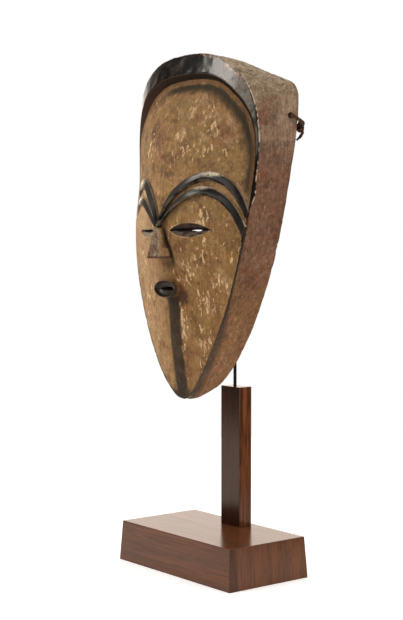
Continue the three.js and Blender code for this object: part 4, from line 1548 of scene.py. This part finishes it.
# %% Wear and darken the outer edge
EDGE_BLACK = (0.010, 0.007, 0.005)
WORN_CREAM = (0.800, 0.620, 0.460)
WORN_ORANGE = (0.250, 0.110, 0.050)
LOW_LINE = (0.045, 0.030, 0.020)
CHIN_EDGE_DARK = (0.075, 0.048, 0.028)
CHIP_PALE = (0.420, 0.340, 0.260)
CHIP_RED = (0.380, 0.130, 0.080)

above_brow_end = fade(z_axis, 0.37, 0.39)
dark_line = both(within(to_edge, -0.2, 0.5, 1.2, 2.2), above_brow_end, fade(z_axis, 0.52, 0.50))
knocks = fade(paint.noise((240, 240, 150), detail=4), 0.45, 0.54)
edge_wear = both(fade(paint.math("ABSOLUTE", to_edge), 0.85, 0.3), knocks, above_brow_end)
low_line = both(fade(to_edge, 1.4, -0.2), fade(to_edge, -2.2, -0.6), fade(z_axis, 0.385, 0.365),
                fade(patchy, 0.25, 0.5), fade(z_axis, 0.225, 0.265, start=0.3))
# The face is darker along the outer edge near the chin.
soft_front = both(fade(mix_in(to_edge, fine, 3.0), 8.0, 0.5), fade(to_edge, -1.0, 0.5),
                  fade(z_axis, 0.275, 0.235))
chips = both(within(to_edge, -0.8, 0.0, 1.5, 6.0), fade(z_axis, 0.498, 0.512),
             fade(x_axis, 0.015, 0.035), fade(fine, 0.48, 0.60))
wood = coats(
    wood, (dark_line, EDGE_BLACK, 0.7),
    (edge_wear, coats(WORN_ORANGE, (fade(z_axis, 0.385, 0.395), WORN_CREAM)), 0.85),
    (low_line, LOW_LINE, 0.7), (soft_front, CHIN_EDGE_DARK, 0.6),
    (chips, coats(CHIP_PALE, (fade(specks, 0.48, 0.60), CHIP_RED)), 0.75))
print("outer edge worn")

# %% Set shade, gloss and relief
mottle = mix_in(paint.math("MULTIPLY", fine, 1.4), specks, 1.3)
mottle = mix_in(mix_in(mottle, upright, 1.0), broad, 0.7)
dull = fade(fine, 0.3, 0.7, start=0.72, end=0.9)
burnished = fade(patchy, 0.3, 0.7, start=0.15, end=0.27)
handled = both(noted["blackened"], either(
    on_hair, noted["rubbed_and_sheen_patch"], both(fade(x_axis, 0.030, 0.046), fade(z_axis, 0.372, 0.402)),
    fade(z_axis, 0.335, 0.320, end=0.5)))
black_gloss = paint.level(handled, fade(patchy, 0.3, 0.7, start=0.5, end=0.62), burnished)
ends = either(fade(x_axis, -0.03, 0.02), fade(x_axis, -0.070, -0.085))
sheen = both(handled, fade(z_axis, 0.33, 0.34), ends)
paint.set(colour=paint.shaded(wood, subtract(mottle, 1.2)), specular=0.2,
          roughness=paint.level(noted["blackened"], dull, black_gloss),
          coat=paint.math("MULTIPLY", sheen, 0.32), coat_roughness=0.24)
flake_height = mix_in(mix_in(upright, fine, 0.8), flaking, -0.8)
paint.relief(paint.level(noted["blackened"], flake_height, mix_in(patchy, upright, 0.12)), 0.4, 0.6)
paint.on(mask)
print("mask finished")

# %% [markdown]
# The leather thong
#
# A narrow thong of dark leather runs through the hole in the wall and round the rim, is knotted
# behind it and ends in a short frayed tail. One smooth tube would look like rubber. Real thong
# this thin is twisted strip, so each run is made of strands that wind round the route, and the
# knot is one strand wound tighter.

# %% Twist the thong
THONG_LOOP = [
    (108.5, 28.8, 469.5), (115.2, 26.6, 472), (116.0, 19.5, 475.6), (114.0, 14.8, 478.6),
    (107, 13.7, 479.5), (99.6, 14, 479.2), (96.4, 18, 477), (97.6, 26, 474), (103, 28.8, 471),
    (108, 28.8, 469.5),
]
THONG_TAIL = [
    (110.5, 28.8, 467), (111.2, 29.8, 463.5), (109.8, 29.4, 460.5), (107.6, 28.2, 457.8),
    (105.2, 27.0, 455.6),
]
FRAYED_ENDS = np.array([(1.2, -0.8, -0.6), (-0.9, 1.0, -1.0), (-0.4, -1.2, 0.8)])
STRAND_RADIUS = 1.35
STRAND_OFFSET = 0.75
STRAND_SIDES = 12
TWIST_PITCH = 8.0
TWIST_STEPS = 60
KNOT_PLACE = np.array((108.8, 29, 468.8))
KNOT_TURNS = 3
KNOT_RADIUS = 3.0
KNOT_SWAY = 0.9
KNOT_DEPTH = 1.5
KNOT_HEIGHT = 1.15


def wound(route, phase, offset, pitch):
    """The route of a strand that winds round another route."""
    length = np.concatenate([[0], np.cumsum(np.linalg.norm(np.diff(route, axis=0), axis=1))])
    rings = circles_along(route, np.full(len(route), offset), TWIST_STEPS)
    turns = (phase + length / pitch) % 1
    return np.array([ring[int(turn * TWIST_STEPS) % TWIST_STEPS]
                     for ring, turn in zip(rings, turns)])


def strand(name, route, radius, taper=0.35):
    """A strand, rounded off at its start and thinner towards its end."""
    share = np.linspace(0, 1, len(route))
    thinner = taper * smoothstep(0.8, 1, share)
    round_start = 0.5 * smoothstep(0.06, 0, share)
    radii = radius * (1 - thinner) * (1 - round_start)
    return sphere_through(name, circles_along(route, radii, STRAND_SIDES), (route[0], route[-1]))


loop_route = curve_through(THONG_LOOP, 110)
tail_route = curve_through(THONG_TAIL, 40)
strands = [strand(f"loop_strand_{number}",
                  wound(loop_route, number / 2, STRAND_OFFSET, TWIST_PITCH), STRAND_RADIUS)
           for number in range(2)]
for number, frayed_end in enumerate(FRAYED_ENDS):
    tail = wound(tail_route, number / 3, STRAND_OFFSET * 0.8, TWIST_PITCH * 1.4)
    tail = tail + np.linspace(0, 1, len(tail))[:, None] ** 3 * frayed_end
    strands.append(strand(f"tail_strand_{number}", tail, STRAND_RADIUS * 0.72, taper=0.7))
turn = np.linspace(0, 2 * math.pi, 90)
reach = KNOT_RADIUS + KNOT_SWAY * np.cos(KNOT_TURNS * turn)
knot_route = KNOT_PLACE + np.stack([
    reach * np.cos(2 * turn), KNOT_DEPTH * np.sin(KNOT_TURNS * turn),
    reach * np.sin(2 * turn) * KNOT_HEIGHT], axis=1)
strands.append(strand("knot_strand", knot_route, STRAND_RADIUS * 1.15, taper=0))

select_only(strands[0])
for piece in strands:
    piece.select_set(True)
bpy.ops.object.join()
thong = bpy.context.object
thong.name = thong.data.name = "leather_thong"
smooth_by_angle(thong, 60)
print("thong", len(thong.data.polygons), "faces")

# %% Finish the leather
LEATHER_DARK = (0.040, 0.015, 0.006)
LEATHER_WORN = (0.205, 0.098, 0.046)

leather = Finish("dark_leather")
creases = leather.noise(620, detail=4, rough=0.65)
leather.set(colour=leather.coats(LEATHER_DARK, (leather.fade(creases, 0.47, 0.64), LEATHER_WORN)),
            roughness=leather.fade(creases, 0.3, 0.7, start=0.5, end=0.75), specular=0.25)
leather.relief(creases, 0.25, 0.8)
leather.on(thong)
print("leather finished")

# %% [markdown]
# Hand the pieces over
#
# Nothing on this object moves, so every piece rides on the one body. The table pairs each piece
# with the plain solid that it stands for, which is hidden, and lists the recorded finish it wears.

# %% Ride, replace and measure
PIECES = [
    (mask, "mask", "carved_wood"),
    (thong, "thong", "leather"),
    (rod, "rod", "blackened_steel"),
    (post, "column", "polished_hardwood"),
    (base, "base", "polished_hardwood"),
]
for piece, node, slot in PIECES:
    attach(piece, "root")
    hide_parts(node)
    print(piece.name, "stands for", node, rounded(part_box(node)))
